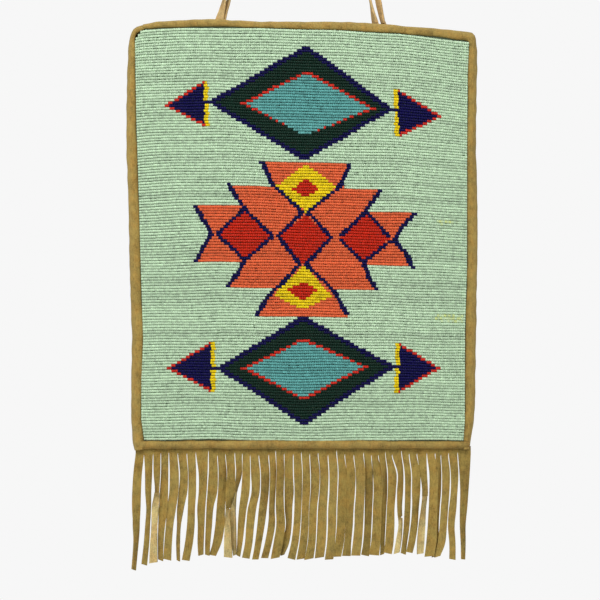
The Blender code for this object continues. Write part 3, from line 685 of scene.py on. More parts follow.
def beadMesh(name, beads, slotName):
    sides = beadwork["sides"]
    profile = np.array(beadwork["profile"])
    turn = np.tile((np.arange(sides) + 0.5) / sides * 2 * math.pi, len(profile))
    along, wide = np.repeat(profile[:, 0], sides), np.repeat(profile[:, 1], sides)
    count, corners = len(beads["x"]), len(turn)
    local = np.empty((count, corners, 3))
    local[..., 0] = beads["length"][:, None] * along
    local[..., 1] = beads["radius"][:, None] * wide * np.cos(turn)
    local[..., 2] = beads["radius"][:, None] * wide * np.sin(turn)
    x = local[..., 0].copy()
    local[..., 1] += x * beads["yaw"][:, None]
    local[..., 2] += x * beads["pitch"][:, None]
    local += np.stack([beads["x"], beads["y"], beads["z"]], axis=1)[:, None]
    faces = []
    for j in range(len(profile) - 1):
        for i in range(sides):
            k = (i + 1) % sides
            faces.append([j * sides + i, j * sides + k, (j + 1) * sides + k, (j + 1) * sides + i])
    faces += [list(range(sides))[::-1], [corners - sides + i for i in range(sides)]]
    sizes = np.tile([len(face) for face in faces], count)
    loops = (np.concatenate(faces)[None] + np.arange(count)[:, None] * corners).reshape(-1)
    mesh = bpy.data.meshes.new(name)
    mesh.vertices.add(count * corners)
    mesh.vertices.foreach_set("co", local.reshape(-1))
    mesh.loops.add(len(loops))
    mesh.loops.foreach_set("vertex_index", loops.astype(np.int32))
    mesh.polygons.add(len(sizes))
    mesh.polygons.foreach_set("loop_start", np.concatenate([[0], np.cumsum(sizes)[:-1]]).astype(np.int32))
    mesh.polygons.foreach_set("loop_total", sizes.astype(np.int32))
    mesh.update(calc_edges=True)
    mesh.shade_smooth()
    paint(mesh, "tint", np.repeat(beads["tint"], corners))
    if slotName == "mint":
        paint(mesh, "streak", np.repeat(beads["streak"], corners))
    return newPiece(name, mesh, slotName)


def nodesOf(slotName, sideName):
    other = {"left": "right", "right": "left"}[sideName]
    for part in frame["record"]["subparts"]:
        if part["material_slot"] == slotName and f"_{other}_" not in part["node"]:
            yield part["node"]


def addBeads():
    beads = layBeads()
    for slotName in beadColours:
        bands = beadwork["bands"] if slotName == "mint" else 1
        for sideName, side in (("left", -1), ("right", 1)):
            for band in range(bands):
                low, high = (beadwork["rows"] * (band + more) / bands for more in (0, 1))
                mine = (beads["slot"] == slotName) & ((beads["x"] > 0) == (side > 0))
                mine &= (beads["level"] > low) & (beads["level"] < high)
                name = f"{slotName}_beads_{sideName}" + (f"_{band + 1}" if bands > 1 else "")
                piece = beadMesh(name, {key: value[mine] for key, value in beads.items()}, slotName)
                hangOnFront(piece)
                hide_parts(*nodesOf(slotName, sideName))
    print("beads", len(beads["x"]))


addBeads()

# Cloth under the beads and inside the pocket

cloth = {
    "columns": 26, "rows": 44, "hem": 0.0030, "fold": 0.0012, "corner": 0.0125,
    "panelLumps": 0.0006, "panelLumpScale": 28, "panelLeast": 0.0008,
}


def clothGrid(side, y, bowed):  # one half of a sheet, or with side 0 the whole of it
    if side:
        across = np.linspace(0, side, cloth["columns"])
    else:
        across = np.linspace(-1, 1, 2 * cloth["columns"] - 1)
    up = np.linspace(0, 1, cloth["rows"])
    share, height = np.meshgrid(across, up)
    foot = bag["bottom"] + cloth["fold"]
    z = foot + height * (bag["height"] - 2 * cloth["fold"])
    x = share * (halfWidth(z) - cloth["hem"])
    reach = bag["topHalf"] - cloth["hem"] - cloth["corner"]
    beyond = np.clip((np.abs(x) - reach) / cloth["corner"], 0, 1)
    drop = cloth["corner"] * (1 - np.sqrt(1 - beyond ** 2))
    z = foot + height * (mouthLine(x) - cloth["fold"] - drop - foot)
    depth = y - bow(x, z) if bowed else np.full_like(x, y)
    return np.stack([x, depth, z], axis=-1)


def shifted(grid, distance):
    return grid + np.array((0, distance, 0))


def addCloth():
    width, height = 2 * (bag["hipHalf"] - cloth["hem"]), bag["height"] - 2 * cloth["fold"]
    for sideName, side in (("left", -1), ("right", 1)):
        grid = clothGrid(side, canvasFront, True)
        canvas = layer(f"canvas_{sideName}", grid, shifted(grid, bag["canvas"]), "canvas")
        hangOnFront(canvas)
        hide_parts("front_canvas", f"{sideName}_seam_core", "bottom_seam_core")
        width / 2
        grid = clothGrid(side, liningFront, True)
        lining = layer(f"front_lining_{sideName}", grid, shifted(grid, bag["lining"]), "lining")
        hangOnFront(lining)
        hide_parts("front_lining")
        width / 2
    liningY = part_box("back_lining")[0].y
    grid = clothGrid(0, liningY, False)
    back = layer("back_lining_cloth", grid, shifted(grid, bag["lining"]), "lining")
    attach(back, "back")
    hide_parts("back_lining")
    panelFront, panelBack = (corner.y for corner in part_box("back_panel"))
    grid = clothGrid(0, panelFront, False)
    outer = shifted(grid, panelBack - panelFront)
    outer = unevenness(outer, cloth["panelLumpScale"], cloth["panelLumps"], 3)
    outer[..., 1] = np.maximum(outer[..., 1], panelFront + cloth["panelLeast"])
    panel = layer("back_hide", grid, outer, "smokedHide")
    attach(panel, "back")
    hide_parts("back_panel")
    print("cloth and back ready")


addCloth()

# Bindings: strips of hide folded over the edges

bindings = {
    "thickness": 0.0009, "puff": 0.0008, "foldSteps": 8, "foldDepth": 0.0018,
    "stations": 110, "mouthStations": 60, "mouthCut": 81, "backMouthStations": 120,
    "lumps": 0.0005, "lumpScale": 120,
    "backLeg": 0.0074, "mouthBackLeg": 0.0062, "mouthRise": 0.0010,
    "lipDrops": (0.0009, 0.0002, 0.0002, 0.0006),  # how far the front lip and the back lip turn in
    "backPuffShare": 0.3, "thinMouthShare": 0.5,
    # Outer edge and inner edge as pixel columns and rows: the sides' from the foot up and round the
    # corner, the mouth's from left to right
    "left": (
        (134.5, 450.6, 143.6, 449.2), (132.7, 441, 144.0, 439.4), (131.0, 420, 141.6, 420),
        (130.8, 400, 141.5, 400), (131.6, 340, 143.2, 340), (129.5, 270, 141.0, 270),
        (128.1, 200, 139.1, 200), (126.2, 150, 137.4, 150), (126.2, 120, 136.5, 120),
        (126.8, 80, 135.8, 80), (128.2, 50, 135.2, 50), (129.6, 38, 135.0, 40),
        (133.0, 29.4, 136.4, 34.4), (138.0, 25.8, 140.2, 31.2), (144.0, 24.3, 144.4, 29.4),
    ),
    "right": (
        (470.4, 449.5, 463.2, 449.5), (470.8, 440, 463.4, 440), (474, 420, 464.7, 420),
        (475.4, 400, 464.8, 400), (476, 350, 465.0, 350), (477.5, 270, 466.8, 270),
        (477.9, 240, 466.9, 240), (476.5, 150, 467.0, 150), (476.5, 120, 467.2, 120),
        (477.3, 60, 468.0, 60), (476.6, 44, 468.6, 45), (475.2, 36.2, 467.6, 41.4),
        (472.6, 32.6, 466.2, 40.8), (466, 31.2, 463.4, 40.2), (460.6, 30.8, 460.2, 40.0),
    ),
    "mouth": (
        (143.0, 24.4, 143.4, 29.4), (161, 21.6, 161, 28.4), (190, 20.2, 190, 27.7),
        (215, 19.5, 215, 27.5), (230, 20.5, 230, 27.8), (260, 22, 260, 28.5), (300, 22.3, 300, 29.7),
        (340, 22.6, 340, 31.0), (360, 22.9, 360, 31.9), (390, 25, 390, 33.4), (420, 27.6, 420, 35.9),
        (440, 29.2, 440, 37.8), (462, 31.0, 462, 40.2),
    ),
}


def foldSection(frontLeg, backLeg, front, back, puff=bindings["puff"]):
    # Inset from the edge, depth and painted light and shade, from the front lip over the fold to the back
    # lip: painted shade where the lips tuck in, and paler along the fold, partly worn and partly a painted
    # highlight
    deep = bindings["foldDepth"]
    middle = (front + back) / 2
    tip, nearTip, nearEnd, end = bindings["lipDrops"]
    section = [
        (frontLeg, front + tip, -0.6), (frontLeg * 0.97, front + nearTip, -0.45),
        (frontLeg * 0.90, front - puff * 0.3, -0.25), (frontLeg * 0.74, front - puff * 0.9, -0.08),
        (frontLeg * 0.52, front - puff, 0.0), (max(frontLeg * 0.34, deep * 1.1), front - puff * 0.8, 0.12),
    ]
    for angle in np.linspace(0, math.pi, bindings["foldSteps"] + 1):
        section.append((deep * (1 - math.sin(angle)), middle - (middle - front) * math.cos(angle),
                        0.22 + 0.25 * math.sin(angle)))
    section += [
        (max(backLeg * 0.34, deep * 1.1), back + puff * bindings["backPuffShare"], 0.1),
        (backLeg * 0.6, back + puff * 0.4, 0.0), (backLeg * 0.85, back + puff * 0.2, -0.1),
        (backLeg * 0.97, back - nearEnd, -0.6), (backLeg, back - end, -1.0),
    ]
    return np.array(section)


def seamSection(x, leg):
    return foldSection(leg, bindings["backLeg"], seamFront, seamBack)


def frontMouthSection(x, leg):
    forward = float(bow(x, mouthLine(x)))
    front = canvasFront - bindings["mouthRise"] - forward
    back = liningFront + bag["lining"] + bindings["mouthRise"] - forward
    return foldSection(leg, bindings["mouthBackLeg"], front, back)


def backMouthSection(x, leg):
    low, high = (corner.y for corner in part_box("back_mouth_binding"))
    puff = bindings["puff"] * bindings["thinMouthShare"]
    return foldSection(leg, bindings["mouthBackLeg"], low, high, puff)


def foldedStrip(name, run, count, section, seed):
    # section(x, leg) gives the profile at a station; the strip is a closed skin round it
    rings = []
    for outerColumn, outerRow, innerColumn, innerRow in curve(run, count):
        outer = np.array(fromPhoto(outerColumn, outerRow))
        inner = np.array(fromPhoto(innerColumn, innerRow))
        leg = np.linalg.norm(inner - outer)
        inward = (inner - outer) / leg
        profile = section(outer[0], leg)
        flat = profile[:, :2]
        step = np.gradient(flat, axis=0)
        step /= np.linalg.norm(step, axis=1)[:, None]
        normal = np.stack([-step[:, 1], step[:, 0]], axis=1) * -bindings["thickness"]
        inset, depth = np.concatenate([flat, (flat + normal)[::-1]]).T
        rings.append(np.stack([outer[0] + inward[0] * inset, depth, outer[1] + inward[1] * inset], axis=1))
    wear = np.concatenate([profile[:, 2], profile[::-1, 2]])
    rings = unevenness(np.array(rings), bindings["lumpScale"], bindings["lumps"], seed)
    return loft(name, rings, "smokedHide", wear)


def addBindings():
    for sideName, seed in (("left", 4), ("right", 5)):
        strip = foldedStrip(f"{sideName}_edge", bindings[sideName], bindings["stations"], seamSection, seed)
        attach(strip, "back")
        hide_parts(f"{sideName}_binding")
    run = curve(bindings["mouth"], bindings["mouthCut"])
    middle = int(np.argmin(abs(run[:, 0] - photo["middle"])))
    run[middle, [0, 2]] = photo["middle"]
    for sideName, side, part in (("left", -1, run[:middle + 1]), ("right", 1, run[middle:])):
        name = f"mouth_edge_{sideName}"
        strip = foldedStrip(name, part, bindings["mouthStations"], frontMouthSection, 8)
        hangOnFront(strip)
        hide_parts("front_mouth_binding")
    count = bindings["backMouthStations"]
    strip = foldedStrip("back_mouth_edge", bindings["mouth"], count, backMouthSection, 9)
    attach(strip, "back")
    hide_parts("back_mouth_binding")
    print("bindings ready")


addBindings()

roll = {
    "top": 440.5, "bottom": 449.0, "left": 135.9, "right": 469.6, "stations": 130,
    "swell": 0.0016, "end": 6, "endShare": 0.25, "tilt": 0.3, "tiltLength": 60,
    "lumps": 0.0006, "lumpScale": 95, "tuck": 0.0040,
    # Round the outer skin and back round the inner one: the face that a point keeps to, its offset from
    # that face, its share of the way down, and the painted light and shade there: a painted highlight
    # across the upper front, painted shade where it tucks in and in the crease underneath
    "skin": (
        ("canvas", -0.0002, -0.02, -0.7), ("front", 0.0016, 0.01, -0.4), ("front", 0.0006, 0.13, 0.0),
        ("front", 0, 0.36, 0.12), ("front", 0.0002, 0.60, 0.06), ("front", 0.0011, 0.83, -0.04),
        ("front", 0.0027, 0.98, -0.25), ("tuck", 0, 1.03, -0.4), ("back", -0.0012, 0.97, -0.3),
        ("back", -0.0002, 0.80, 0), ("back", 0, 0.5, 0), ("back", -0.0001, 0.2, 0),
        ("back", -0.0008, -0.01, -0.7), ("back", -0.0018, 0.04, -0.7), ("back", -0.0012, 0.4, 0),
        ("back", -0.0016, 0.78, 0), ("tuck", 0, 0.86, 0), ("front", 0.0026, 0.78, 0),
        ("front", 0.0013, 0.5, 0), ("front", 0.0014, 0.25, 0), ("canvas", -0.0001, 0.10, 0),
    ),
}


def addRoll():  # the soft roll along the foot, over the upper edge of the fringe
    faces = {"canvas": canvasFront, "tuck": roll["tuck"], "back": seamBack}
    rings = []
    for column in np.linspace(roll["left"], roll["right"], roll["stations"]):
        fromEnd = min(min(column - roll["left"], roll["right"] - column) / roll["end"], 1.0)
        full = math.sqrt(1 - (1 - fromEnd) ** 2) * (1 - roll["endShare"]) + roll["endShare"]
        faces["front"] = seamFront - roll["swell"] * full
        upper = roll["top"] + roll["tilt"] * math.sin(column / roll["tiltLength"])
        x = float(fromPhoto(column, upper)[0])
        top, low = (float(fromPhoto(column, row)[1]) for row in (upper, roll["bottom"]))
        rings.append([(x, faces[face] + offset, top - share * (top - low))
                      for face, offset, share, _ in roll["skin"]])
    rings = unevenness(np.array(rings), roll["lumpScale"], roll["lumps"], 5)
    piece = loft("foot_roll", rings, "smokedHide", np.array([wear for *_, wear in roll["skin"]]))
    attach(piece, "back")
    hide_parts("bottom_binding")
    print("roll ready")


addRoll()

# Stitches that hold the bindings down on the back

stitching = {
    "pitch": 0.0046, "stitch": 0.0027, "radius": 0.00026, "rise": 0.00022, "wander": 0.00018,
    "arch": ((0.0, 0.0), (0.25, 1.0), (0.75, 1.0), (1.0, 0.0)),  # shares of a stitch and of its rise
    "insets": {"left": 0.0060, "right": 0.0060, "mouth": 0.0048},
    "ahead": 0.001,  # how far on along the seam a stitch is aimed
    "stations": 300, "footStations": 100, "footEnd": 8, "footBelow": 2.4,
}


def addStitches(name, places, depth, seed):
    rng = np.random.default_rng(seed)
    along = np.concatenate([[0], np.cumsum(np.linalg.norm(np.diff(places, axis=0), axis=1))])
    verts, faces = [], []
    radius = stitching["radius"]
    for start in np.arange(stitching["pitch"] / 2, along[-1] - stitching["stitch"], stitching["pitch"]):
        start += stitching["wander"] * rng.standard_normal()
        base = len(verts)
        for share, rise in stitching["arch"]:
            at = start + share * stitching["stitch"]
            x, z = (np.interp(at, along, places[:, i]) for i in (0, 1))
            nextX, nextZ = (np.interp(at + stitching["ahead"], along, places[:, i]) for i in (0, 1))
            y = depth + rise * stitching["rise"]
            side = np.array((z - nextZ, nextX - x)) / math.hypot(nextX - x, nextZ - z) * radius
            verts += [(x + side[0], y, z + side[1]), (x, y + radius, z),
                      (x - side[0], y, z - side[1]), (x, y - radius, z)]
        for ring in range(base, len(verts) - 4, 4):
            for i in range(4):
                k = (i + 1) % 4
                faces.append((ring + i, ring + k, ring + 4 + k, ring + 4 + i))
        faces += [tuple(range(base + 3, base - 1, -1)), tuple(range(len(verts) - 4, len(verts)))]
    mesh = bpy.data.meshes.new(name)
    mesh.from_pydata([tuple(map(float, vert)) for vert in verts], [], faces)
    turnOut(mesh)
    piece = newPiece(name, mesh, "thread")
    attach(piece, "back")


def addAllStitches():
    over = bindings["puff"] * bindings["backPuffShare"]
    for seed, (name, inset) in enumerate(stitching["insets"].items()):
        stations = curve(bindings[name], stitching["stations"])
        outer, inner = (np.stack(fromPhoto(*stations[:, pair].T), axis=1) for pair in ((0, 1), (2, 3)))
        inward = (inner - outer) / np.linalg.norm(inner - outer, axis=1)[:, None]
        face = seamBack if name != "mouth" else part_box("back_mouth_binding")[1].y
        addStitches(f"{name}_stitches", outer + inward * inset, face + over, seed)
    ends = (roll["left"] + stitching["footEnd"], roll["right"] - stitching["footEnd"])
    columns = np.linspace(*ends, stitching["footStations"])
    places = fromPhoto(columns, np.full_like(columns, roll["top"] + stitching["footBelow"]))
    addStitches("foot_stitches", np.stack(places, axis=1), seamBack, 7)
    print("stitches ready")


addAllStitches()

# Fringe

fringe = {
    "tuck": 446.5, "tuckDepth": 0.0008, "crease": 449.0, "left": 135.4, "right": 470.9,
    "slitTop": (451.6, 455), "slitDepth": -0.0001, "opening": 4,  # rows from a slit's top to its full kerf
    "bundleSlitTop": 450.2, "bundles": 5, "levels": (474, 492, 509, 526, 543), "seed": 5,
    "columns": 6, "steps": 34, "thickness": 0.0010, "kerf": 0.35, "weld": 0.000005,
    "depth": 0.0024,  # the middle of the strips, a little forward of the tab they are cut from
    "taper": 0.68, "roll": 17, "rollWave": 3.1, "sway": 0.0004, "swayWave": 2.6, "cup": 0.0003,
    "setsIn": {"lean": 5, "roll": 4, "behind": 2.2},  # how soon each comes in, down a strip
    "turnReach": 9,  # rows above and below the place where a strip turns over
    "slant": 0.9, "slantFrom": 0.9,  # pixels by which a tip is cut askew, and where that starts
    # The darkening in the crease and on strips that hang behind the others is painted shade
    "wearSpread": 0.09, "behindShade": 0.14, "edgePaling": 0.16, "wearRows": 14, "creaseShade": 0.3,
    "blend": (0.0006, -0.0035),  # heights over the foot's edge
    "slits": (
        143.8, 153, 160.7, 168.7, 177.8, 186.9, 195.8, 208.4, 217.5, 225.5, 234.8, 242.3, 250.2, 258.9,
        268.7, 275.7, 284.2, 293.3, 301.4, 309.8, 318.2, 328.1, 336.8, 344.9, 354, 363.8, 371.6, 378.6,
        385.6, 392.6, 401.7, 409.4, 417.2, 427, 435.4, 441, 448.7, 457.9,
    ),
}
# A strip's left and right edge at each level and at its tip, and the tip's row
strips = (
    ((133.6, 141.8), (132.3, 140.9), (131.9, 140.3), (132.8, 139.2), (133.8, 137.8), (131.9, 135.2), 570),
    ((145, 151.7), (145.2, 150.8), (146.4, 150.4), (145.2, 149.5), (143.8, 148.7), (141.4, 146.5), 565),
    ((153.9, 159.9), (155.1, 158.8), (151.7, 158.6), (151.5, 157.3), (150, 157), (149.1, 157.3), 563),
    ((161.2, 168), (159.9, 168), (159, 167.2), (158.2, 165), (158, 163.3), (158.2, 162.9), 560.6),
    ((169.8, 178.8), (169.4, 178.4), (167.2, 175.8), (165.9, 173.2), (164.4, 171.9), (163.3, 171.1), 560),
    ((180.1, 187.9), (178.8, 187.2), (177.3, 183.5), (177.3, 180.3), (176.5, 179.6), (177, 179.6), 561),
    ((188.6, 196), (188.3, 196), (187.7, 194.8), (186.8, 194.3), (184.9, 192.6), (181.8, 189.2), 560.6),
    ((198.9, 207.3), (198.9, 206.4), (197.4, 205.1), (198, 204.2), (197.8, 203.4), (198.6, 203), 555.4),
    ((208.9, 217.9), (207.6, 217.1), (206.7, 213.2), (206, 211.9), (205.4, 210.2), (205.4, 209.3), 555.4),
    ((218.8, 226.1), (217.9, 225.7), (216.6, 225), (215.3, 224.4), (212.8, 221.4), (209.3, 215.8), 555.8),
    ((227, 235.1), (225.7, 234.3), (226.1, 230), (224.8, 230.8), (224, 231.7), (223.8, 232.1), 557.6),
    ((236, 241.6), (234.5, 236.6), (230, 235.6), (230.8, 235.8), (231.9, 236), (233.4, 235.8), 555.4),
    ((242.5, 250.2), (241.2, 249.4), (239, 246.3), (237.7, 244.2), (237.3, 242.5), (236.9, 239.9), 556.3),
    ((251.1, 260.1), (251.9, 259.3), (248, 256.2), (246.3, 254.1), (245, 252.4), (242, 249.4), 558.4),
    ((261, 269.2), (261, 268.3), (258.8, 266.6), (257.1, 264.4), (255, 261.4), (252.2, 258.4), 559.7),
    ((270, 276), (269.6, 275.2), (269.2, 274.3), (267.9, 274.8), (264.9, 271.8), (261, 267.9), 558.4),
    ((276.9, 283.8), (276, 283.4), (276, 284.2), (276.5, 285.1), (273.9, 283), (270.9, 279.5), 558.4),
    ((284.7, 292.9), (284.7, 293.7), (285.1, 292), (286.4, 291.1), (283, 289), (280.8, 283.8), 555.4),
    ((293.9, 302), (294.7, 301.6), (294.3, 301.2), (293.4, 300.3), (291.3, 298.6), (287.7, 295.2), 559.3),
    ((302.9, 310.2), (302.5, 310.2), (302, 309), (301.2, 308.5), (299.5, 307.2), (296.5, 304.2), 559.3),
    ((311.1, 319.7), (311.1, 318.9), (309.4, 317.1), (308.8, 316.3), (307.7, 315.4), (304.2, 313.3), 559.3),
    ((320.1, 328.3), (319.7, 327.9), (318.3, 327), (317.6, 326.6), (316.7, 325.7), (315, 324), 558),
    ((329.6, 337.8), (329.6, 337.4), (328.3, 336.5), (327.9, 336.1), (327, 334.8), (324.9, 333.1), 559.7),
    ((338.7, 346.4), (338.2, 346.4), (337.4, 346), (336.9, 345.1), (335.2, 343.8), (333.1, 341.2), 557),
    ((346.8, 355.5), (346.8, 355), (346.4, 353.7), (345.6, 352.9), (344.3, 351.2), (342.1, 350.7), 556.3),
    ((355.9, 365.4), (356.3, 364.9), (355, 364), (354.6, 363.2), (352.9, 361.9), (351.2, 360.2), 555.8),
    ((365.8, 372.7), (365.4, 373.1), (364.9, 372.3), (364.5, 371.4), (363.2, 370.5), (361.3, 368.8), 555.8),
    ((373.1, 382.2), (373.7, 382.6), (373.1, 381.7), (372.7, 381.3), (371.4, 380.4), (369.1, 379.1), 555.4),
    ((381.9, 386.6), (382.3, 387), (381.5, 386.2), (380.9, 385.3), (380.6, 384.5), (380.2, 384), 555),
    ((387.9, 396.5), (387.9, 395.7), (387, 394.4), (386.2, 394.4), (385.2, 393.5), (384, 391.8), 553.6),
    ((398.2, 403), (397.2, 403), (397.5, 401.7), (398.9, 402.1), (395.7, 401), (393.9, 399.5), 553.6),
    ((404.7, 411.1), (405.1, 410.7), (404.7, 410.3), (403.8, 409.4), (402.5, 406.8), (400.8, 405.6), 554),
    ((412, 420.2), (412, 420.2), (412.4, 418.5), (410.7, 417.6), (408.1, 415), (406.2, 412.4), 552.7),
    ((420.6, 427), (422.9, 427.5), (421.5, 425.8), (418.9, 425.3), (417.3, 424.5), (417.2, 423.6), 554),
    ((429.6, 438.2), (429.6, 437.8), (428.8, 437.4), (427.9, 437), (426.6, 436.5), (424.9, 434.4), 556.6),
    ((436, 441.1), (436, 440.8), (435, 439.5), (434, 438.7), (434, 439), (432, 439.5), 557),
    ((442.1, 449.9), (442.1, 449.4), (440.8, 448.1), (439.7, 446.9), (438.0, 445.4), (434.6, 440.4), 557),
    ((451.2, 458.5), (451.2, 457.6), (449, 456.3), (448.1, 454.6), (449.4, 455.5), (449.4, 455.5), 559.6),
    ((459.8, 469.7), (460.6, 468.4), (460.2, 467.1), (460.2, 465.4), (461.1, 465.4), (461.5, 464.9), 559.6),
)
behind = {  # millimetres by which some strips hang behind the others, or in front of them
    2: -0.5, 3: 0.5, 8: -0.4, 9: 0.8, 10: -0.8, 11: 1.2, 15: 0.4, 16: -0.5, 17: 1.2, 21: 0.3,
    23: 0.2, 24: 0.7, 25: -0.3, 26: 0.8, 27: -0.4, 28: 1.3, 30: 0.3, 33: -0.4, 34: -0.5, 35: 1.2,
}
turnRows = {2: 493, 10: 509, 11: 493, 30: 518, 33: 497}  # where some strips turn their flesh side out


def stripPath(index, top):  # rows of a strip with its left and right edges
    *edges, tipRow = strips[index]
    slits = (fringe["left"], *fringe["slits"], fringe["right"])
    left, right = slits[index], slits[index + 1]
    kerfs = [0.0 if slit in (slits[0], slits[-1]) else fringe["kerf"] for slit in (left, right)]
    levels = [top, top + fringe["opening"], *fringe["levels"], tipRow]
    lefts = [left, left + kerfs[0], *(edge[0] for edge in edges)]
    rights = [right, right - kerfs[1], *(edge[1] for edge in edges)]
    path = curve(list(zip(levels, lefts, rights)), fringe["steps"])
    if index in turnRows:  # two rows close together, between which it turns over
        close = turnRows[index] + np.array((-0.5, 0.5))
        more = [close, *(np.interp(close, path[:, 0], path[:, i]) for i in (1, 2))]
        path = np.vstack([path, np.stack(more, axis=1)])
        path = path[np.argsort(path[:, 0])]
    widest = max(right - left - sum(kerfs), *(edge[1] - edge[0] for edge in edges))
    return path, widest


def stripGrid(index, slitTops, rng):
    # Rows of points from the tuck inside the roll down to the tip
    tops = slitTops[index:index + 2]
    path, widest = stripPath(index, max(tops))
    swayPhase, rollPhase, slantPhase = rng.random(3) * 2 * math.pi
    setsIn = fringe["setsIn"]
    sign = 1 if rng.random() < 0.5 else -1
    across = np.linspace(0, 1, fringe["columns"])
    share = across * 2 - 1
    low = tops[0] + (tops[1] - tops[0]) * across
    first, last = path[0, 0], path[-1, 0]
    columns = path[0, 1] + (path[0, 2] - path[0, 1]) * across
    rows = []
    held = ((fringe["tuck"], fringe["tuckDepth"]), (fringe["crease"], 0.0), (low, fringe["slitDepth"]))
    for row, push in held:
        x, z = fromPhoto(columns, np.broadcast_to(row, columns.shape))
        rows.append(np.stack([x, np.full_like(x, fringe["depth"] + push), z], axis=1))
    for row, leftEdge, rightEdge in path[1:]:
        down = (row - first) / (last - first)
        seen = rightEdge - leftEdge
        # A strip that looks narrower than it was cut is turned about its length
        cut = max(widest * (1 - (1 - fringe["taper"]) * down), seen)
        lean = math.acos(min(seen / cut, 1.0)) * min(down * setsIn["lean"], 1) * sign
        rolled = math.sin(fringe["rollWave"] * down + rollPhase) * min(down * setsIn["roll"], 1)
        lean += math.radians(fringe["roll"]) * rolled
        if index in turnRows:
            over = float(ease((row - turnRows[index]) / (2 * fringe["turnReach"]) + 0.5))
            lean = lean * (1 - over) + (sign * math.pi - lean) * over
        half = seen / 2 * photo["pixel"]
        deep = half * math.tan(lean)
        deep = math.copysign(min(abs(deep), cut / 2 * photo["pixel"]), deep)
        facing = -1 if math.cos(lean) < 0 else 1
        atTip = max(down - fringe["slantFrom"], 0) / (1 - fringe["slantFrom"])
        askew = fringe["slant"] * math.sin(slantPhase) * share * atTip
        level = low + (row - first) * (last - low) / (last - first) + askew
        centreX, z = fromPhoto((leftEdge + rightEdge) / 2, level)
        lie = fringe["depth"] + behind.get(index, 0) / 1000 * float(ease(down * setsIn["behind"]))
        lie += fringe["sway"] * math.sin(fringe["swayWave"] * down + swayPhase) * down
        cup = fringe["cup"] * (share ** 2 - 0.4) * min(down * setsIn["lean"], 1)
        x, y = centreX + facing * share * half, lie + facing * (share * deep + cup)
        rows.append(np.stack([x, y, z], axis=1))
    return np.array(rows)


def stripToneAndShade(shade, i, j):  # paler along the cut edges, and painted shade in the crease under the roll
    edge = fringe["edgePaling"] if j in (0, fringe["columns"] - 1) else 0.0
    crease = max(0, 1 - abs(i - 1) / 1.5)
    return (shade + edge) * min(i / fringe["wearRows"], 1.0) - fringe["creaseShade"] * crease


def addFringe():
    rng = np.random.default_rng(fringe["seed"])
    count = len(strips)
    slitTops = rng.uniform(*fringe["slitTop"], count + 1)
    borders = [round(count * i / fringe["bundles"]) for i in range(fringe["bundles"] + 1)]
    slitTops[borders] = fringe["bundleSlitTop"]
    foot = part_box("bottom_binding")[0].z
    start, end = ((0, 0, foot + rise) for rise in fringe["blend"])
    for number, (first, last) in enumerate(zip(borders, borders[1:]), 1):
        sheet = bmesh.new()
        tone = sheet.verts.layers.float.new("wear")
        for index in range(first, last):
            grid = stripGrid(index, slitTops, rng)
            shade = float(rng.normal(0, fringe["wearSpread"]))
            # strips that hang behind the others get painted shade
            shade -= fringe["behindShade"] * max(behind.get(index, 0), 0)
            verts = [[sheet.verts.new(point) for point in row] for row in grid]
            for i, row in enumerate(verts):
                for j, vert in enumerate(row):
                    vert[tone] = stripToneAndShade(shade, i, j)
            for upper, lower in zip(verts, verts[1:]):
                for i in range(fringe["columns"] - 1):
                    sheet.faces.new((upper[i], lower[i], lower[i + 1], upper[i + 1]))
        bmesh.ops.remove_doubles(sheet, verts=sheet.verts[:], dist=fringe["weld"])
        mesh = bpy.data.meshes.new(f"fringe_{number}")
        sheet.to_mesh(mesh)
        sheet.free()
        piece = newPiece(f"fringe_{number}", mesh, "fringeHide", "fleshHide", "cutHide")
        thicken(piece)
        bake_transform(piece)
        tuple(start)
        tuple(end)
        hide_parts(f"fringe_bundle_{number}", "fringe_tab")
    print("fringe ready,", count, "strips")


def thicken(piece):  # gives a flat cut of hide its thickness, a flesh side and cut edges
    shell = piece.modifiers.new("thickness", "SOLIDIFY")
    shell.thickness = fringe["thickness"]
    shell.offset = 0
    shell.material_offset = 1
    shell.material_offset_rim = 2
    graph = bpy.context.evaluated_depsgraph_get()
    made = bpy.data.meshes.new_from_object(piece.evaluated_get(graph))
    piece.modifiers.clear()
    piece.data = made
    made.shade_smooth()
    made.set_sharp_from_angle(angle=sharpEdge)


addFringe()

# Thong handles

thongs = {
    "peg": 0.0060, "thickness": 0.0015, "width": 0.0052, "footWidth": 0.0062, "apart": 0.0004,
    "legSteps": 40, "pegSteps": 14, "lumps": 0.0005, "lumpScale": 60,
    "foot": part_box("front_handle")[0].z, "flare": 0.010, "settle": 0.12,
    # Feet, and for each leg how far it has turned, in degrees, at rises above its foot
    "front": {"feet": (-0.0585, 0.0508), "side": -1,
              "turns": (((0, 0), (0.0136, 60), (0.022, 90)), ((0, 52), (0.0136, 85), (0.020, 90)))},
    "back": {"feet": (-0.0552, 0.0567), "side": 1,
             "turns": (((0, 76), (0.0136, 62), (0.030, 90)), ((0, 72), (0.0136, 45), (0.040, 90)))},
    # darker along the middle of each face of a thong, paler at its edges
    "edgeShare": 0.35, "flatShare": 0.86, "wear": (0.06, -0.06, -0.21, -0.06, 0.06),
    "blend": (-0.0005, 0.0045),  # heights over the feet
    "tail": 0.0220, "lap": 0.0010, "tailSteps": 12, "tailTaper": 0.12, "tailPressed": 0.9, "untwist": 2.5,
}


def pegTangent(foot):
    reach = np.array((foot, thongs["foot"] + thongs["peg"]))
    radius = thongs["peg"] + thongs["thickness"] / 2
    lean = math.acos(radius / np.linalg.norm(reach))
    return math.atan2(reach[1], reach[0]) + math.copysign(lean, foot)


def onPeg(angle):
    radius = thongs["peg"] + thongs["thickness"] / 2
    return np.array((math.cos(angle), math.sin(angle))) * radius - np.array((0, thongs["peg"]))


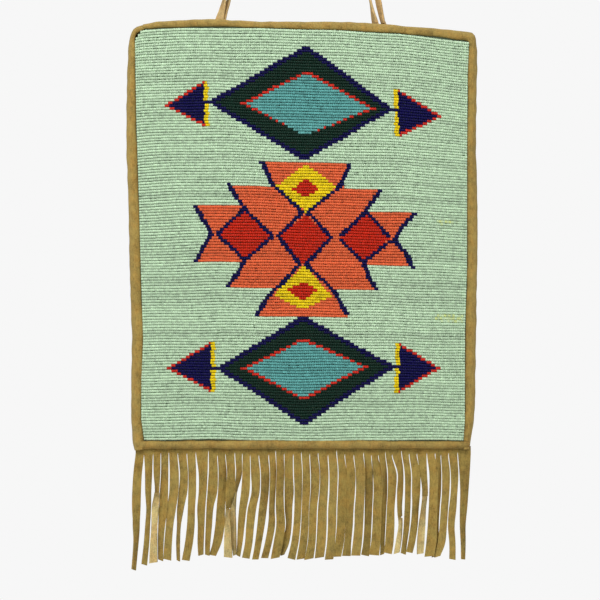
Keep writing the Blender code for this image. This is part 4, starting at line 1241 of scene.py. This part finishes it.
def thongRoute(feet):  # middle line as (place, outward direction, rise above the nearer foot)
    angles = [pegTangent(foot) % (2 * math.pi) for foot in feet]
    angles[1] = (angles[1] + math.pi) % (2 * math.pi) - math.pi
    legs = []
    for foot, angle in zip(feet, angles):
        start, end = np.array((foot, thongs["foot"])), onPeg(angle)
        outward = np.array((math.cos(angle), math.sin(angle)))
        length = np.linalg.norm(end - start)
        shares = (np.arange(thongs["legSteps"]) / thongs["legSteps"]) ** 2
        legs.append([(start + (end - start) * share, outward, length * share) for share in shares])
    over = []
    for angle in np.linspace(angles[0], angles[1], thongs["pegSteps"] + 1):
        over.append((onPeg(angle), np.array((math.cos(angle), math.sin(angle))), -thongs["foot"]))
    return [*legs[0], *over, *legs[1][::-1]]


def thongSection(width, thickness):
    half, deep = width / 2, thickness / 2
    edge, flat = deep * thongs["edgeShare"], half * thongs["flatShare"]
    over = [(half, edge), (flat, deep), (0, deep), (-flat, deep), (-half, edge)]
    return over + [(-a, -b) for a, b in over]


def addThong(name, rings):
    return loft(name, np.array(rings), "paleHide", np.tile(thongs["wear"], 2))


def addHandle(bodyName):
    feet, side = thongs[bodyName]["feet"], thongs[bodyName]["side"]
    route = thongRoute(feet)
    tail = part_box(f"{bodyName}_left_tail")
    footY, pegY = (tail[0].y + tail[1].y) / 2, side * (thongs["width"] / 2 + thongs["apart"])
    rings = []
    for i, (place, outward, rise) in enumerate(route):
        later = i > len(route) / 2
        rises, turned = zip(*thongs[bodyName]["turns"][later])
        angle = math.radians(float(np.interp(rise, rises, turned)))
        if later:
            angle = math.pi - angle
        wide = np.array((outward[0] * math.cos(angle), math.sin(angle), outward[1] * math.cos(angle)))
        thin = np.array((-outward[0] * math.sin(angle), math.cos(angle), -outward[1] * math.sin(angle)))
        y = footY + (pegY - footY) * float(ease(rise / thongs["settle"]))
        middle = np.array((place[0], y, place[1]))
        flare = (thongs["footWidth"] - thongs["width"]) * (1 - float(ease(rise / thongs["flare"])))
        section = thongSection(thongs["width"] + flare, thongs["thickness"])
        rings.append([middle + wide * a + thin * b for a, b in section])
    rings = unevenness(np.array(rings), thongs["lumpScale"], thongs["lumps"], 12 + side)
    handle = addThong(f"{bodyName}_thong", rings)
    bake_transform(handle)
    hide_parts(f"{bodyName}_handle")
    for sideName, foot in zip(("left", "right"), feet):
        addTail(bodyName, sideName, foot, footY)


def addTail(bodyName, sideName, foot, y):  # goes on from its leg, down inside the pocket
    angle = pegTangent(foot)
    across = np.array((math.cos(angle), 0, math.sin(angle)))
    forward = np.array((0, 1, 0))
    side = 1 if sideName == "left" else -1
    start = np.array((foot, y, thongs["foot"]))
    end = onPeg(angle)
    down = start - np.array((end[0], y, end[1]))
    down /= np.linalg.norm(down)
    turned = math.radians(thongs[bodyName]["turns"][side < 0][0][1])
    rings = []
    for share in np.linspace(0, 1, thongs["tailSteps"]):
        middle = start + down * (thongs["tail"] * share - thongs["lap"])
        lean = turned * (1 - float(ease(share * thongs["untwist"])))
        wide = across * side * math.cos(lean) + forward * math.sin(lean)
        thin = forward * side * math.cos(lean) - across * math.sin(lean)
        width = thongs["footWidth"] * (1 - thongs["tailTaper"] * share)
        section = thongSection(width, thongs["thickness"] * thongs["tailPressed"])
        rings.append([middle + wide * a + thin * b for a, b in section])
    tail = addThong(f"{bodyName}_{sideName}_thong_tail", rings)
    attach(tail, bodyName)
    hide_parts(f"{bodyName}_{sideName}_tail")


addHandle("front")
addHandle("back")
print("handles ready")

# Floor and light

studio = {
    "floor": -0.72, "floorHalf": 9, "floorColour": (0.88, 0.88, 0.87), "floorRoughness": 0.9,
    "pale": 0.93, "grey": 0.30,  # the backdrop as it is seen, and as it lights the bag
    "fade": (0.45, 1.05),  # the floor passes into the backdrop between these distances
    "lamps": (
        ("key", (-0.45, -1.0, 0.75), 0.9, 19.5),
        ("fill", (1.3, -1.6, 0.1), 1.6, 7.5),
        ("back", (0.3, 1.9, 0.7), 1.6, 16.0),
    ),
}


def fadeFloor(look):  # away from the bag the camera sees the floor as the backdrop's own colour
    level = look.node("ShaderNodeVectorMath", {"operation": "MULTIPLY"}, {0: look.place(), 1: (1, 1, 0)})
    away = look.node("ShaderNodeVectorMath", {"operation": "LENGTH"}, {0: level}, 1)
    near, far = studio["fade"]
    spread = look.node("ShaderNodeMapRange", {}, {"Value": away, "From Min": near, "From Max": far})
    seen = look.node("ShaderNodeLightPath", {}, {}, "Is Camera Ray")
    glow = look.node("ShaderNodeEmission", {}, {"Strength": studio["pale"]})
    floor = Wire(look, look.shader.outputs[0])
    both = look.node("ShaderNodeMixShader", {}, {0: spread * seen, 1: floor, 2: glow})
    look.feed(look.tree.nodes["Material Output"].inputs["Surface"], both)


def addFloor():
    half = studio["floorHalf"]
    corners = [(half * x, half * y, studio["floor"]) for x, y in ((-1, -1), (1, -1), (1, 1), (-1, 1))]
    mesh = bpy.data.meshes.new("floor")
    mesh.from_pydata(corners, [], [(0, 1, 2, 3)])
    look = Finish("floor", Base_Color=studio["floorColour"], Roughness=studio["floorRoughness"])
    fadeFloor(look)
    finishes["floor"] = look.material
    newPiece("floor", mesh, "floor")


def addLamps():
    x, z = fromPhoto(photo["side"] / 2, photo["side"] / 2)
    for name, place, size, power in studio["lamps"]:
        light = bpy.data.lights.new(name, "AREA")
        light.size = size
        light.energy = power
        lamp = bpy.data.objects.new(name, light)
        lamp.location = place
        lamp.rotation_euler = (Vector((x, 0, z)) - Vector(place)).to_track_quat("-Z", "Y").to_euler()
        bpy.context.scene.collection.objects.link(lamp)


def addBackdrop():  # pale to the camera, in gloss and through glass, and grey as a light
    world = bpy.data.worlds.new("studio")
    bpy.context.scene.world = world
    world.use_nodes = True
    nodes = Nodes(world.node_tree)
    seen = 0.0
    for kind in ("Camera", "Glossy", "Transmission"):
        ray = nodes.node("ShaderNodeLightPath", {}, {}, f"Is {kind} Ray")
        seen = ray.sum("MAXIMUM", ray, seen)
    limits = {"Value": seen, "To Min": studio["grey"], "To Max": studio["pale"]}
    background = nodes.tree.nodes["Background"]
    nodes.feed(background.inputs["Strength"], nodes.node("ShaderNodeMapRange", {}, limits))
    nodes.feed(background.inputs["Color"], (1.0, 1.0, 1.0))


addFloor()
addLamps()
addBackdrop()
print("studio ready")
